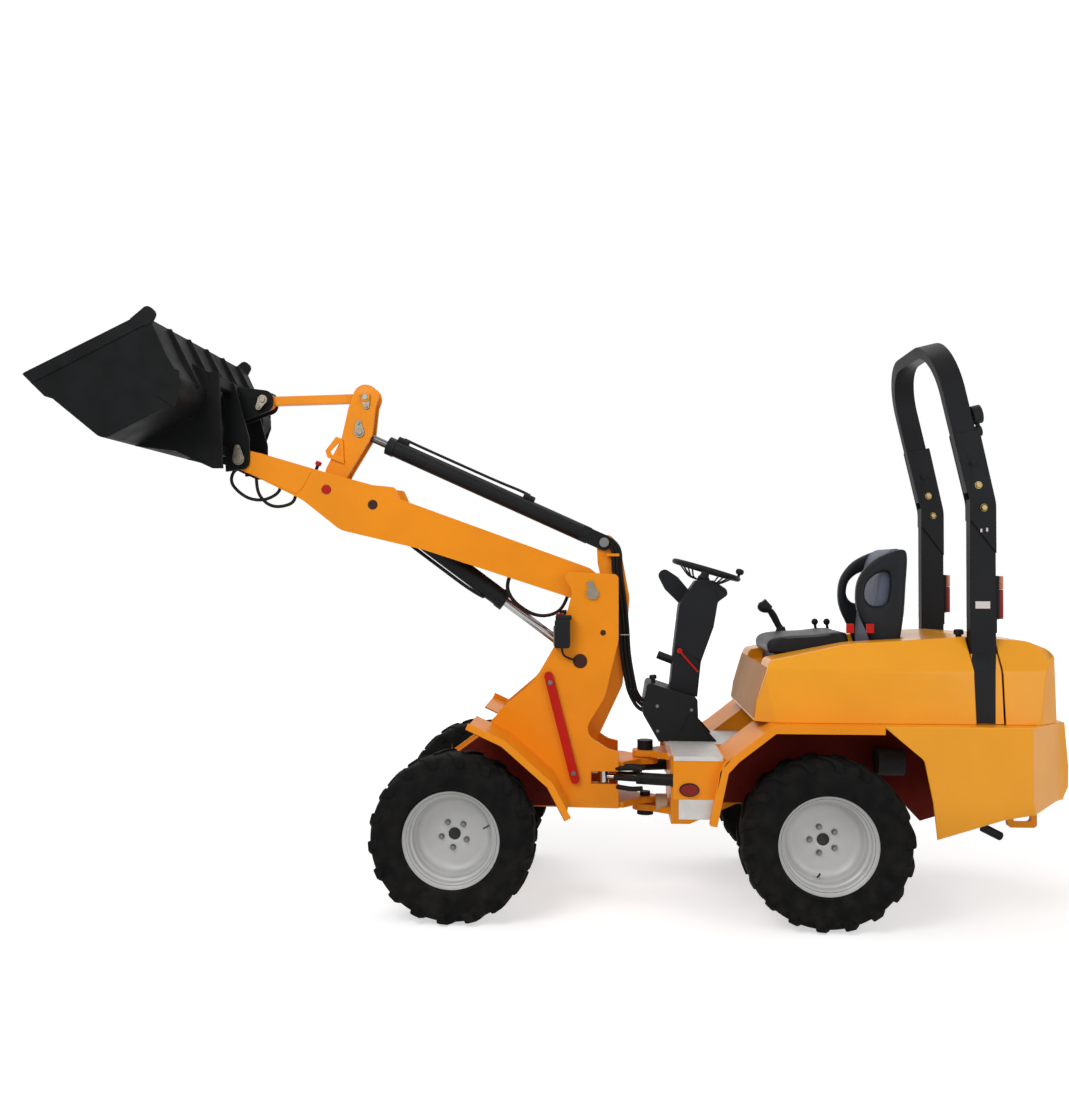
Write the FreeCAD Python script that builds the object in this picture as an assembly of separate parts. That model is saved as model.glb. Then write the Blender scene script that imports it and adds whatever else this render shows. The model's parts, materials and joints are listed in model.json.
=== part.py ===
"""Compact articulated wheel loader with a bucket on a quick hitch.

Millimetres.  +X forward, +Y to the driver's left, +Z up.  Inside this file
X = 0 is the articulation pivot and Z = 0 the ground.  Every solid is written
with the origin at the middle of the machine's length, on the ground.
"""
import FreeCAD, Part
import math
import os

Vec = FreeCAD.Vector
X_AXIS = Vec(1, 0, 0)
Y_AXIS = Vec(0, 1, 0)
Z_AXIS = Vec(0, 0, 1)

# ---------------------------------------------------------------- running gear
TYRE_RADIUS = 375.0
TYRE_WIDTH = 262.0
CARCASS_RADIUS = 352.0
TRACK = 1000.0
REAR_AXLE_X = -765.0
FRONT_AXLE_X = 875.0
RIM_RADIUS = 212.0
LUG_COUNT = 18
HUB_RADIUS = 62.0

# ---------------------------------------------------------------- clearances
RUNNING_GAP = 5.0
PIN_GAP = 0.08
SEAT_GAP = 0.3

# ---------------------------------------------------------------- articulation
PIVOT_PIN_RADIUS = 25.0
LUG_RADIUS = 62.0
UPPER_LUG_Z = 620.0
LOWER_LUG_Z = 430.0
LUG_THICKNESS = 30.0
FLANGE_X = -113.0
FLANGE_BOTTOM = 370.0
FLANGE_TOP = 704.0

# ---------------------------------------------------------------- tower and boom
TOWER_HALF = 175.0
TOWER_PLATE = 16.0
BOOM_HALF = 130.0
BOOM_PLATE = 14.0
BOOM_PIVOT = Vec(255, 0, 1455)
BOOM_LENGTH = 1850.0
BOOM_ANGLE = 20.7
BOOM_PIN_RADIUS = 25.0
LIFT_LOWER = Vec(315, 0, 1130)
TILT_BASE = Vec(200, 0, 1700)
SPINE_THICKNESS = 40.0
PLATE_REAR = 131.0
ACCESS_HOLE = 34.0
PIN_BOSS = 30.0
PIN_RECESS = 8.0

HOSE_PORT = Vec(138, 34, 1632)

# Places along and above the boom's centre line, from its rear pin.
HOSE_STRAP_REAR = 109.0
HOSE_STRAP_FRONT = 408.0
STRAP_DEPTH = 62.0
LIFT_UPPER_ALONG = BOOM_LENGTH - 693
LIFT_UPPER_ABOVE = 22.0
LEVER_PIVOT_ALONG = BOOM_LENGTH - 451
LEVER_PIVOT_ABOVE = 11.0
LEVER_LENGTH = 497.0
LEVER_CYLINDER_PIN = 325.0
LEVER_CYLINDER_LEAN = 6.0
HITCH_ARM = 317.0
HITCH_ARM_ANGLE = 85.0

# ---------------------------------------------------------------- bucket
BUCKET_WIDTH = 1300.0
BUCKET_PLATE = 8.0
BUCKET_ANGLE = 38.8
BUCKET_FLOOR = 480.0
TIP_FORWARD = 829.4
TIP_ABOVE = 341.1

# ---------------------------------------------------------------- rear body
FLOOR_Z = 744.0
FLOOR_SHEET = 4.0
CONSOLE_HALF = 140.0
BODY_HALF = 560.0
RAIL_INNER = 200.0
RAIL_OUTER = 212.0
HOOD_BOTTOM = 888.0
BALLAST_TOP = HOOD_BOTTOM - SEAT_GAP
HOOD_HALF = 490.0
HOOD_SHEET = 6.0
HOOD_FRONT = -470.0
HOOD_SEAM = -1427.0
REAR_END = -1870.0
POST_X = -1489.0
POST_Y = 370.0
POST_DEPTH = 112.0
POST_WIDTH = 60.0
HOOP_PIVOT_Z = 1844.0
HOOP_LEAN = 13.0
CHEEK = 9.0
HINGE_BOLT = 14.0
HOOP_FOOT = 80.0
CHEEK_GAP = 1.0
POST_ABOVE_HINGE = 40.0

# ---------------------------------------------------------------- steering
WHEEL_CENTRE = Vec(-300, 0, 1565)
WHEEL_TILT = 16.4
WHEEL_RADIUS = 172.0
STEER_REAR = Vec(-275, 250, 575)
STEER_FRONT = Vec(205, 128, 575)
STEER_EYE = 60.0
STEER_BARREL_RADIUS = 28.0


# ================================================================ shape helpers
def box(x0, x1, y0, y1, z0, z1):
    """Block between two opposite corners."""
    return Part.makeBox(x1 - x0, y1 - y0, z1 - z0, Vec(x0, y0, z0))


def bar(start, end, radius):
    """Round bar between two points."""
    along = end - start
    return Part.makeCylinder(radius, along.Length, start, along)


def cross_bar(x, z, radius, y0, y1):
    """Round bar across the machine."""
    return Part.makeCylinder(radius, y1 - y0, Vec(x, y0, z), Y_AXIS)


def rounded_wire(corners, place):
    """Closed wire through (a, b) or (a, b, radius) corners; place maps a, b to a point."""
    points = [place(c[0], c[1]) for c in corners]
    radii = [c[2] if len(c) > 2 else 0.0 for c in corners]
    count = len(points)
    edges = []
    ends = []
    for i, point in enumerate(points):
        if radii[i] == 0:
            ends.append((point, None, point))
            continue
        before = (points[i - 1] - point).normalize()
        after = (points[(i + 1) % count] - point).normalize()
        half = before.getAngle(after) / 2
        reach = radii[i] / math.tan(half)
        middle = (before + after).normalize()
        centre = point + middle * (radii[i] / math.sin(half))
        ends.append((point + before * reach, centre - middle * radii[i], point + after * reach))
    for i in range(count):
        first, through, last = ends[i]
        if through is not None:
            edges.append(Part.Arc(first, through, last).toShape())
        following = ends[(i + 1) % count][0]
        if (following - last).Length > 1e-6:
            edges.append(Part.makeLine(last, following))
    return Part.Wire(edges)


def side_plate(corners, y0, y1):
    """Plate with an outline in X and Z, from y0 to y1."""
    wire = rounded_wire(corners, lambda x, z: Vec(x, y0, z))
    return Part.Face(wire).extrude(Vec(0, y1 - y0, 0))


def flat_plate(corners, z0, z1):
    """Plate with an outline in X and Y, from z0 to z1."""
    wire = rounded_wire(corners, lambda x, y: Vec(x, y, z0))
    return Part.Face(wire).extrude(Vec(0, 0, z1 - z0))


def cross_plate(corners, x0, x1):
    """Plate with an outline in Y and Z, from x0 to x1."""
    wire = rounded_wire(corners, lambda y, z: Vec(x0, y, z))
    return Part.Face(wire).extrude(Vec(x1 - x0, 0, 0))


def folded_outline(points, thickness):
    """Outline of a sheet folded along (a, b) points, with its thickness to the left."""
    offset = []
    count = len(points)
    for i, (a, b) in enumerate(points):
        normals = []
        if i > 0:
            da, db = a - points[i - 1][0], b - points[i - 1][1]
            run = math.hypot(da, db)
            normals.append((-db / run, da / run))
        if i < count - 1:
            da, db = points[i + 1][0] - a, points[i + 1][1] - b
            run = math.hypot(da, db)
            normals.append((-db / run, da / run))
        na = sum(n[0] for n in normals) / len(normals)
        nb = sum(n[1] for n in normals) / len(normals)
        scale = thickness / (na * na + nb * nb)
        offset.append((a + na * scale, b + nb * scale))
    return list(points) + offset[::-1]


def fused(shapes):
    """One solid from pieces that touch."""
    shapes = list(shapes)
    return shapes[0].multiFuse(shapes[1:]).removeSplitter()


def mirrored(shape):
    """The same piece on the machine's right side."""
    return shape.mirror(Vec(0, 0, 0), Y_AXIS)


def both_sides(shape):
    """The left and right copies of a piece, as two solids."""
    return [shape, mirrored(shape)]


def turned(shape, centre, axis, angle):
    """Copy turned about an axis through centre, in degrees."""
    copy = shape.copy()
    copy.rotate(centre, axis, angle)
    return copy


def polar(centre, length, angle):
    """Point at a distance and an angle above +X, in the X-Z plane."""
    turn = math.radians(angle)
    return centre + Vec(length * math.cos(turn), 0, length * math.sin(turn))


# ================================================================ linkage points
def on_boom(along, above):
    """Point given along and above the boom's centre line."""
    return polar(polar(BOOM_PIVOT, along, BOOM_ANGLE), above, BOOM_ANGLE + 90)


NOSE_PIN = on_boom(BOOM_LENGTH, 0)
LIFT_UPPER = on_boom(LIFT_UPPER_ALONG, LIFT_UPPER_ABOVE)
LEVER_PIVOT = on_boom(LEVER_PIVOT_ALONG, LEVER_PIVOT_ABOVE)
LEVER_TOP = polar(LEVER_PIVOT, LEVER_LENGTH, BOOM_ANGLE + 90)
LEVER_MIDDLE = polar(LEVER_PIVOT, LEVER_CYLINDER_PIN, BOOM_ANGLE + 90 + LEVER_CYLINDER_LEAN)
HITCH_TOP = polar(NOSE_PIN, HITCH_ARM, BOOM_ANGLE + HITCH_ARM_ANGLE)
BUCKET_TIP = NOSE_PIN + Vec(TIP_FORWARD, 0, TIP_ABOVE)
MIDDLE_X = (BUCKET_TIP.x + REAR_END) / 2


def save(name, solids):
    """Write one node, moved to the machine's own origin."""
    solids = solids if isinstance(solids, list) else [solids]
    shape = solids[0] if len(solids) == 1 else Part.makeCompound(solids)
    shape = shape.copy()
    shape.translate(Vec(-MIDDLE_X, 0, 0))
    if not shape.isValid():
        print("not valid:", name)
    shape.exportStep(os.path.join("parts", name + ".step"))


# ================================================================ wheels
def tyre(centre):
    """Carcass of revolution with two rows of slanted lugs."""
    half = TYRE_WIDTH / 2
    wall = CARCASS_RADIUS
    left = [(RIM_RADIUS - 12, half - 37), (RIM_RADIUS + 2.5, half - 29), (RIM_RADIUS + 5, half - 20),
            (wall - 70, half - 4), (wall - 22, half - 8), (wall, half - 44)]
    profile = left + [(r, -y) for r, y in reversed(left)]
    wire = Part.makePolygon([Vec(0, y, r) for r, y in profile + profile[:1]])
    carcass = Part.Face(wire).revolve(Vec(0, 0, 0), Y_AXIS, 360)
    lug_root = CARCASS_RADIUS - 14
    long_corners = [(6, 15), (26, 20), (half, -38), (half, -66), (half - 16, -66)]
    lug = Part.Face(Part.makePolygon([Vec(x, y, lug_root) for y, x in long_corners + long_corners[:1]]))
    lug = lug.extrude(Vec(0, 0, TYRE_RADIUS - lug_root))
    tread = Part.makeCylinder(TYRE_RADIUS, TYRE_WIDTH, Vec(0, -half, 0), Y_AXIS)
    lug = lug.common(tread)
    step = 360.0 / LUG_COUNT
    lugs = []
    for i in range(LUG_COUNT):
        lugs.append(turned(lug, Vec(0, 0, 0), Y_AXIS, i * step))
        lugs.append(turned(mirrored(lug), Vec(0, 0, 0), Y_AXIS, (i + 0.5) * step))
    shape = carcass.multiFuse(lugs)
    shape.translate(centre)
    return shape


def rim(centre, side):
    """Dished wheel: stepped barrel, disc, hub boss and five nuts."""
    half = TYRE_WIDTH / 2
    outer = RIM_RADIUS - 12 - SEAT_GAP
    edge = half - 22
    profile = [
        (RIM_RADIUS + 2, edge), (RIM_RADIUS + 2, edge - 6), (outer, edge - 14), (outer, -edge + 14),
        (RIM_RADIUS + 2, -edge + 6), (RIM_RADIUS + 2, -edge), (outer - 8, -edge),
        (outer - 8, -edge + 30), (outer - 26, -edge + 44), (outer - 26, -30), (HUB_RADIUS, -30),
        (HUB_RADIUS, -22), (outer - 60, -22), (outer - 44, 0), (outer - 18, 14),
        (outer - 18, 40), (outer - 8, 56), (outer - 8, edge)]
    wire = Part.makePolygon([Vec(0, y, r) for r, y in profile + profile[:1]])
    barrel = Part.Face(wire).revolve(Vec(0, 0, 0), Y_AXIS, 360)
    hub = Part.makeCylinder(HUB_RADIUS + 2, 26, Vec(0, -34, 0), Y_AXIS)
    bore = Part.makeCylinder(28, 60, Vec(0, -60, 0), Y_AXIS)
    shape = fused([barrel, hub]).cut(bore)
    if side < 0:
        shape = mirrored(shape)
    shape.translate(centre)
    return shape


def wheel_centre(axle_x, side):
    return Vec(axle_x, side * TRACK / 2, TYRE_RADIUS)


def axle(axle_x, pad_top, pad_half):
    """Beam with a differential housing, end flanges and pads under the frame."""
    end = TRACK / 2 - 34 - SEAT_GAP
    beam = cross_bar(axle_x, TYRE_RADIUS, 52, -end + 14, end - 14)
    flanges = [cross_bar(axle_x, TYRE_RADIUS, 85, end - 14, end),
               cross_bar(axle_x, TYRE_RADIUS, 85, -end, -end + 14)]
    housing = Part.makeSphere(105, Vec(axle_x, 0, TYRE_RADIUS))
    housing = housing.cut(box(axle_x - 120, axle_x + 120, -120, 120, pad_top - RUNNING_GAP, pad_top + 100))
    pads = [box(axle_x - 60, axle_x + 60, y - 30, y + 30, TYRE_RADIUS, pad_top)
            for y in (-pad_half, pad_half)]
    return fused([beam, housing] + flanges + pads)


def make_wheels():
    for end_name, axle_x in (("front", FRONT_AXLE_X), ("rear", REAR_AXLE_X)):
        for side_name, side in (("left", 1), ("right", -1)):
            centre = wheel_centre(axle_x, side)
            save("tyre_%s_%s" % (end_name, side_name), tyre(centre))
            save("rim_%s_%s" % (end_name, side_name), rim(centre, side))


# ================================================================ front frame
def front_frame():
    """Two tower plates, the middle spine, the pivot lugs and the cross members."""
    outline = [(131, 1545, 25), (131, 1230, 160), (196, 960, 120), (300, 790, 60), (180, 712, 60),
               (PLATE_REAR, 700), (PLATE_REAR, 430), (980, 440), (980, 640, 40), (790, 780, 30),
               (721, 854, 20), (702, 892, 30), (537, 1032, 200), (441, 1196, 120), (373, 1379, 60),
               (352, 1463, 60), (406, 1556, 25)]
    inner = TOWER_HALF - TOWER_PLATE
    plate = side_plate(outline, inner, TOWER_HALF)
    plate = plate.cut(box(0, STEER_FRONT.x + 57, inner - 5, TOWER_HALF + 5, STEER_FRONT.z - 30,
                          STEER_FRONT.z + 30))
    plate = plate.cut(cross_bar(LIFT_LOWER.x, LIFT_LOWER.z, ACCESS_HOLE, inner - 5, TOWER_HALF + 5))
    plate = plate.cut(cross_bar(205, 1266, 14, inner - 5, TOWER_HALF + 5))
    boss = cross_bar(LIFT_LOWER.x, LIFT_LOWER.z, ACCESS_HOLE + 14, inner - PIN_BOSS, inner)
    members = [
        box(270, 980, -inner, inner, 440, 456),
        box(270, 600, -inner, inner, 640, 656),
        box(270, 286, -inner, inner, 430, 676),
        box(964, 980, -inner, inner, 456, 640),
        side_plate([(610, 790), (616, 806), (728, 777), (722, 761)], -inner, inner)]
    spine = side_plate([(75, 1430, 60), (110, 1000, 80), (272, 656), (360, 656), (215, 1150, 60),
                        (190, 1400, 60), (232, 1600, 60), (238, 1738, 37), (162, 1738, 37), (110, 1620, 60)],
                       -SPINE_THICKNESS / 2, SPINE_THICKNESS / 2)
    spine = spine.cut(cross_bar(TILT_BASE.x, TILT_BASE.z, 20 + PIN_GAP, -50, 50))
    port = box(HOSE_PORT.x - 13, HOSE_PORT.x + 51, SPINE_THICKNESS / 2, HOSE_PORT.y + 13, HOSE_PORT.z,
               HOSE_PORT.z + 14)
    lugs = []
    for z in (UPPER_LUG_Z, LOWER_LUG_Z):
        lug = flat_plate([(275, -inner), (275, inner), (110, inner), (20, LUG_RADIUS, 30),
                          (-LUG_RADIUS, 30, 40), (-LUG_RADIUS, -30, 40), (20, -LUG_RADIUS, 30),
                          (110, -inner)],
                         z, z + LUG_THICKNESS)
        bore = Part.makeCylinder(PIVOT_PIN_RADIUS + PIN_GAP, 200, Vec(0, 0, z - 60))
        lugs.append(lug.cut(bore))
    ears = []
    for z in (STEER_FRONT.z - STEER_EYE / 2 - SEAT_GAP - 12, STEER_FRONT.z + STEER_EYE / 2 + SEAT_GAP):
        ears += both_sides(box(STEER_FRONT.x - 30, 272, STEER_FRONT.y - 28, inner + 2, z, z + 12))
    shape = fused(both_sides(plate) + both_sides(boss) + members + [spine, port] + lugs + ears)
    for pin in (BOOM_PIVOT, LIFT_LOWER):
        shape = shape.cut(cross_bar(pin.x, pin.z, BOOM_PIN_RADIUS, -TOWER_HALF - 5, TOWER_HALF + 5))
    return shape


def keeper(pin):
    """Pin head with its bolted keeper plate on the outside of the left tower plate."""
    head = Part.makeCylinder(BOOM_PIN_RADIUS + 4, 12, Vec(pin.x, TOWER_HALF, pin.z), Y_AXIS)
    tab = box(pin.x - 16, pin.x + 16, TOWER_HALF, TOWER_HALF + 8, pin.z, pin.z + 58)
    return head.fuse(turned(tab, pin, Y_AXIS, 12))


def tower_pins():
    """Boom pin through the tower, and the two stubs that carry the lift cylinder."""
    shaft = cross_bar(BOOM_PIVOT.x, BOOM_PIVOT.z, BOOM_PIN_RADIUS - PIN_GAP, -TOWER_HALF, TOWER_HALF)
    pins = [fused([shaft] + both_sides(keeper(BOOM_PIVOT)))]
    inner = TOWER_HALF - TOWER_PLATE
    stub = cross_bar(LIFT_LOWER.x, LIFT_LOWER.z, BOOM_PIN_RADIUS - PIN_GAP, inner - PIN_BOSS - 4, inner + 4)
    return pins + both_sides(stub)


def front_fender():
    """Folded fender plate with a turned-down outer lip, on the left side."""
    line = [(813, 861), (653, 787), (451, 610), (372, 463)]
    sheet = side_plate(folded_outline(line, -5), TOWER_HALF, 590)
    lip = side_plate(folded_outline(line, -30), 586, 590)
    return fused([sheet, lip])


def lock_bar():
    """Lift lock stored on the tower's left plate, on two studs."""
    top = Vec(464, 0, 1059)
    bottom = Vec(339, 0, 570)
    along = bottom - top
    face = TOWER_HALF + 12
    strip = box(0, along.Length, -22, 22, 0, 10)
    strip.rotate(Vec(0, 0, 0), X_AXIS, 90)
    strip = turned(strip, Vec(0, 0, 0), Y_AXIS, -math.degrees(math.atan2(along.z, along.x)))
    strip.translate(Vec(top.x, face + 10, top.z))
    studs = [cross_bar(top.x + along.x * t, top.z + along.z * t, 9, TOWER_HALF, face + 14)
             for t in (0.06, 0.94)]
    return fused([strip] + studs)


def work_lamps():
    """Box lamps on the front edges of both tower plates."""
    body = box(360, 440, TOWER_HALF, TOWER_HALF + 75, 1195, 1330)
    cap = box(352, 432, TOWER_HALF + 8, TOWER_HALF + 67, 1330, 1352)
    return both_sides(fused([body, cap]))


# ================================================================ boom group
def boom_frame(shape):
    """Carry a shape drawn along +X at the origin to the boom's place."""
    shape = turned(shape, Vec(0, 0, 0), Y_AXIS, -BOOM_ANGLE)
    shape.translate(BOOM_PIVOT)
    return shape


def boom():
    """Two deep side plates closed by top and bottom plates, with bosses at each pin."""
    hump = LIFT_UPPER_ALONG
    knee = LEVER_PIVOT_ALONG
    tip = BOOM_LENGTH + 46
    outline = [(-40, 75, 40), (60, 106, 60), (hump - 117, 94), (hump - 71, 140, 20), (hump + 33, 112, 60),
               (knee + 49, 88, 60), (tip - 126, 64, 60), (tip, 46, 45), (tip, -46, 45), (tip - 136, -52, 40),
               (knee + 96, -77, 200), (knee - 137, -150, 120), (hump - 315, -95, 300), (100, -60, 60),
               (-60, -60, 55)]
    plate = side_plate(outline, BOOM_HALF - BOOM_PLATE, BOOM_HALF)
    inner = BOOM_HALF - BOOM_PLATE
    top = side_plate([(170, 104), (hump - 117, 94), (hump - 117, 82), (170, 92)], -inner, inner)
    front_top = side_plate([(tip - 256, 73), (tip - 146, 65), (tip - 146, 53), (tip - 256, 61)], -inner,
                           inner)
    under = side_plate([(knee - 137, -145), (knee + 96, -72), (tip - 156, -52), (tip - 156, -40),
                        (knee + 98, -60), (knee - 137, -133)], -inner, inner)
    bosses = []
    for along, above, radius in ((0, 0, 52), (LIFT_UPPER_ALONG, LIFT_UPPER_ABOVE, 45),
                                 (LEVER_PIVOT_ALONG, LEVER_PIVOT_ABOVE, 45), (BOOM_LENGTH, 0, 48)):
        bosses.append(cross_bar(along, above, radius, inner - 24, inner))
    shape = both_sides(fused([plate] + bosses))
    straps = [box(along - 12, along + 12, -inner, inner, -STRAP_DEPTH, 12 - STRAP_DEPTH)
              for along in (HOSE_STRAP_REAR, HOSE_STRAP_FRONT)]
    shape = fused(shape + [top, front_top, under] + straps)
    for along, above in ((0, 0), (LIFT_UPPER_ALONG, LIFT_UPPER_ABOVE),
                         (LEVER_PIVOT_ALONG, LEVER_PIVOT_ABOVE), (BOOM_LENGTH, 0)):
        shape = shape.cut(cross_bar(along, above, BOOM_PIN_RADIUS + PIN_GAP, -200, 200))
    return boom_frame(shape)


def hose(points, radius):
    """Round hose along straight runs that tangent arcs join."""
    edges = []
    radii = []
    start = points[0]
    for before, corner, after in zip(points, points[1:], points[2:]):
        back = before - corner
        ahead = after - corner
        half_turn = (math.pi - back.getAngle(ahead)) / 2
        reach = 0.45 * min(back.Length, ahead.Length)
        arc_radius = reach / math.tan(half_turn)
        back.normalize()
        ahead.normalize()
        middle = (back + ahead).normalize()
        depth = arc_radius / math.cos(half_turn) - arc_radius
        enters = corner + back * reach
        leaves = corner + ahead * reach
        edges.append(Part.makeLine(start, enters))
        edges.append(Part.Arc(enters, corner + middle * depth, leaves).toShape())
        start = leaves
        radii.append(round(arc_radius))
    edges.append(Part.makeLine(start, points[-1]))
    path = Part.Wire(edges)
    ring = Part.Wire(Part.makeCircle(radius, points[0], points[1] - points[0]))
    tube = path.makePipeShell([ring], True, False)
    print("hose", "length", round(path.Length), "radii", radii,
          "volume ratio", round(tube.Volume / (math.pi * radius ** 2 * path.Length), 4))
    return tube


def boom_hoses():
    """Two hoses that leave the boom, hang in a loop and come back beside its rear pin."""
    loop = [(HOSE_STRAP_FRONT, -STRAP_DEPTH), (HOSE_STRAP_FRONT, -103), (388, -145), (347, -176),
            (293, -194), (235, -203), (179, -191), (133, -158), (HOSE_STRAP_REAR, -113),
            (HOSE_STRAP_REAR, -STRAP_DEPTH)]
    tubes = []
    for y in (68, 94):
        tubes.append(hose([on_boom(a, b) + Vec(0, y, 0) for a, b in loop], 8))
    return tubes


def tilt_hoses():
    """Bundle of three hoses down the left face of the spine to the front of the console."""
    route = [(HOSE_PORT.x, HOSE_PORT.z), (HOSE_PORT.x, 1560), (118, 1425), (103, 1285), (97, 1130),
             (66, 985)]
    tubes = []
    for k in range(3):
        tubes.append(hose([Vec(x + 19.5 * k, HOSE_PORT.y, z) for x, z in route], 9))
    return tubes


def boom_pins():
    """Pins that stay with the boom: lift cylinder, lever and nose."""
    pins = []
    reach = BOOM_HALF - PIN_RECESS
    for along, above in ((LIFT_UPPER_ALONG, LIFT_UPPER_ABOVE), (LEVER_PIVOT_ALONG, LEVER_PIVOT_ABOVE)):
        pins.append(cross_bar(along, above, BOOM_PIN_RADIUS, -reach, reach))
    nose = cross_bar(BOOM_LENGTH, 0, BOOM_PIN_RADIUS, -HITCH_CHEEK - 20, HITCH_CHEEK + 20)
    pins.append(nose)
    return [boom_frame(pin) for pin in pins]


def cylinder_barrel(pin, end, length, radius, eye_half, eye_radius, cheeks=0.0):
    """Barrel from its pin towards end, with an eye or two cheeks at the pin."""
    along = (end - pin).normalize()
    root = eye_radius + (44 if cheeks else 12)
    body = Part.makeCylinder(radius, length - root, pin + along * root, along)
    gland = Part.makeCylinder(radius + 4, 40, pin + along * (length - 40), along)
    if cheeks:
        reach = root + 40
        angle = math.degrees(math.atan2(along.z, along.x))
        ear = side_plate([(-eye_radius, -eye_radius, eye_radius * 0.9), (reach, -eye_radius),
                          (reach, eye_radius), (-eye_radius, eye_radius, eye_radius * 0.9)],
                         cheeks, cheeks + 14)
        block = box(root, reach, -cheeks - 14, cheeks + 14, -eye_radius, eye_radius)
        ends = turned(fused(both_sides(ear) + [block]), Vec(0, 0, 0), Y_AXIS, -angle)
        ends.translate(pin)
    else:
        ends = cross_bar(pin.x, pin.z, eye_radius, -eye_half, eye_half)
        ends = ends.fuse(Part.makeCylinder(eye_radius * 0.8, root + 2, pin, along))
    return fused([body, gland, ends]), along


def cylinder_bore(barrel, pin, along, length, rod_radius, depth):
    """Open the barrel for its rod."""
    start = pin + along * (length - depth)
    return barrel.cut(Part.makeCylinder(rod_radius + 0.1, depth + 5, start, along))


def cylinder_rod(pin, end, inside, rod_radius, eye_half, eye_radius):
    """Rod with a solid eye at pin; inside is how far it runs towards end."""
    along = (end - pin).normalize()
    rod = Part.makeCylinder(rod_radius, inside, pin, along)
    eye = cross_bar(pin.x, pin.z, eye_radius, -eye_half, eye_half)
    return fused([rod, eye])


LIFT_ROD_OUT = 464.4
LIFT_BARREL_RADIUS = 46.0
LIFT_ROD_RADIUS = 22.0
TILT_ROD_OUT = 147.6
TILT_BARREL_RADIUS = 42.0
TILT_ROD_RADIUS = 19.0
EYE_RADIUS = 38.0


def lift_cylinder():
    """Barrel under the boom and rod down to the tower."""
    span = (LIFT_LOWER - LIFT_UPPER).Length
    length = span - LIFT_ROD_OUT
    barrel, along = cylinder_barrel(LIFT_UPPER, LIFT_LOWER, length, LIFT_BARREL_RADIUS, 40, EYE_RADIUS + 8)
    barrel = cylinder_bore(barrel, LIFT_UPPER, along, length, LIFT_ROD_RADIUS, length - EYE_RADIUS - 40)
    barrel = barrel.cut(cross_bar(LIFT_UPPER.x, LIFT_UPPER.z, BOOM_PIN_RADIUS + PIN_GAP, -60, 60))
    rod = cylinder_rod(LIFT_LOWER, LIFT_UPPER, LIFT_ROD_OUT + 100, LIFT_ROD_RADIUS, 40, EYE_RADIUS + 4)
    return barrel, rod


def tilt_cylinder():
    """Barrel astride the spine and rod to the lever."""
    span = (LEVER_MIDDLE - TILT_BASE).Length
    length = span - TILT_ROD_OUT
    cheek = SPINE_THICKNESS / 2 + 3
    barrel, along = cylinder_barrel(TILT_BASE, LEVER_MIDDLE, length, TILT_BARREL_RADIUS, 0, EYE_RADIUS,
                                    cheek)
    barrel = cylinder_bore(barrel, TILT_BASE, along, length, TILT_ROD_RADIUS, length - EYE_RADIUS - 60)
    pin = cross_bar(TILT_BASE.x, TILT_BASE.z, 20, -cheek - 24, cheek + 24)
    rod = cylinder_rod(LEVER_MIDDLE, TILT_BASE, TILT_ROD_OUT + 330, TILT_ROD_RADIUS,
                       LEVER_INNER - RUNNING_GAP, EYE_RADIUS)
    return fused([barrel, pin]), rod


LEVER_INNER = 34.0
LEVER_PLATE = 16.0


def tilt_lever():
    """Two lever plates joined by a sleeve at the boom pin and a pin at the top."""
    outline = [(-46, -40, 44), (46, -44, 44), (60, 100, 60), (40, 260, 60), (62, 420, 60),
               (64, 560, 62), (-64, 560, 62), (-64, 470, 60), (-100, 330, 60), (-58, 110, 80)]
    plate = side_plate(outline, LEVER_INNER, LEVER_INNER + LEVER_PLATE)
    sleeve = cross_bar(0, 0, 44, -BOOM_HALF + BOOM_PLATE + 26, BOOM_HALF - BOOM_PLATE - 26)
    top = cross_bar(0, LEVER_LENGTH, 24, -LEVER_INNER - LEVER_PLATE - 12, LEVER_INNER + LEVER_PLATE + 12)
    spacer = box(-52, 40, -LEVER_INNER, LEVER_INNER, 120, 150)
    shape = fused(both_sides(plate) + [sleeve, top, spacer])
    shape = shape.cut(cross_bar(0, 0, BOOM_PIN_RADIUS + PIN_GAP, -150, 150))
    shape = turned(shape, Vec(0, 0, 0), Y_AXIS, -BOOM_ANGLE)
    shape.translate(LEVER_PIVOT)
    return shape


def tilt_link():
    """Flat link bar with an eye at each end."""
    span = HITCH_TOP - LEVER_TOP
    angle = -math.degrees(math.atan2(span.z, span.x))
    half = LEVER_INNER - RUNNING_GAP
    bar_part = box(20, span.Length - 20, -half + 6, half - 6, -22, 22)
    eyes = [cross_bar(x, 0, 44, -half, half) for x in (0, span.Length)]
    shape = fused([bar_part] + eyes).cut(cross_bar(0, 0, 24 + PIN_GAP, -60, 60))
    shape = turned(shape, Vec(0, 0, 0), Y_AXIS, angle)
    shape.translate(LEVER_TOP)
    return shape


HITCH_CHEEK = 150.0
HITCH_PLATE = 16.0
HITCH_SPREAD = 330.0


def bucket_point(back, up):
    """Point given back from the cutting edge along the floor, and up from the floor."""
    edge = polar(BUCKET_TIP, back, 180 + BUCKET_ANGLE)
    return polar(edge, up, 90 + BUCKET_ANGLE)


def hitch_plane(up):
    """Point on the face between hitch and bucket, at a height from the nose pin."""
    return Vec(NOSE_PIN.x + 74 + up * 0.045, 0, NOSE_PIN.z + up)


def hitch_strip(low, high, depth, y0, y1):
    """Upright strip behind the hitch face."""
    foot = hitch_plane(low)
    head = hitch_plane(high)
    return side_plate([(foot.x, foot.z), (head.x, head.z), (head.x - depth, head.z),
                       (foot.x - depth, foot.z)], y0, y1)


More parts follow.
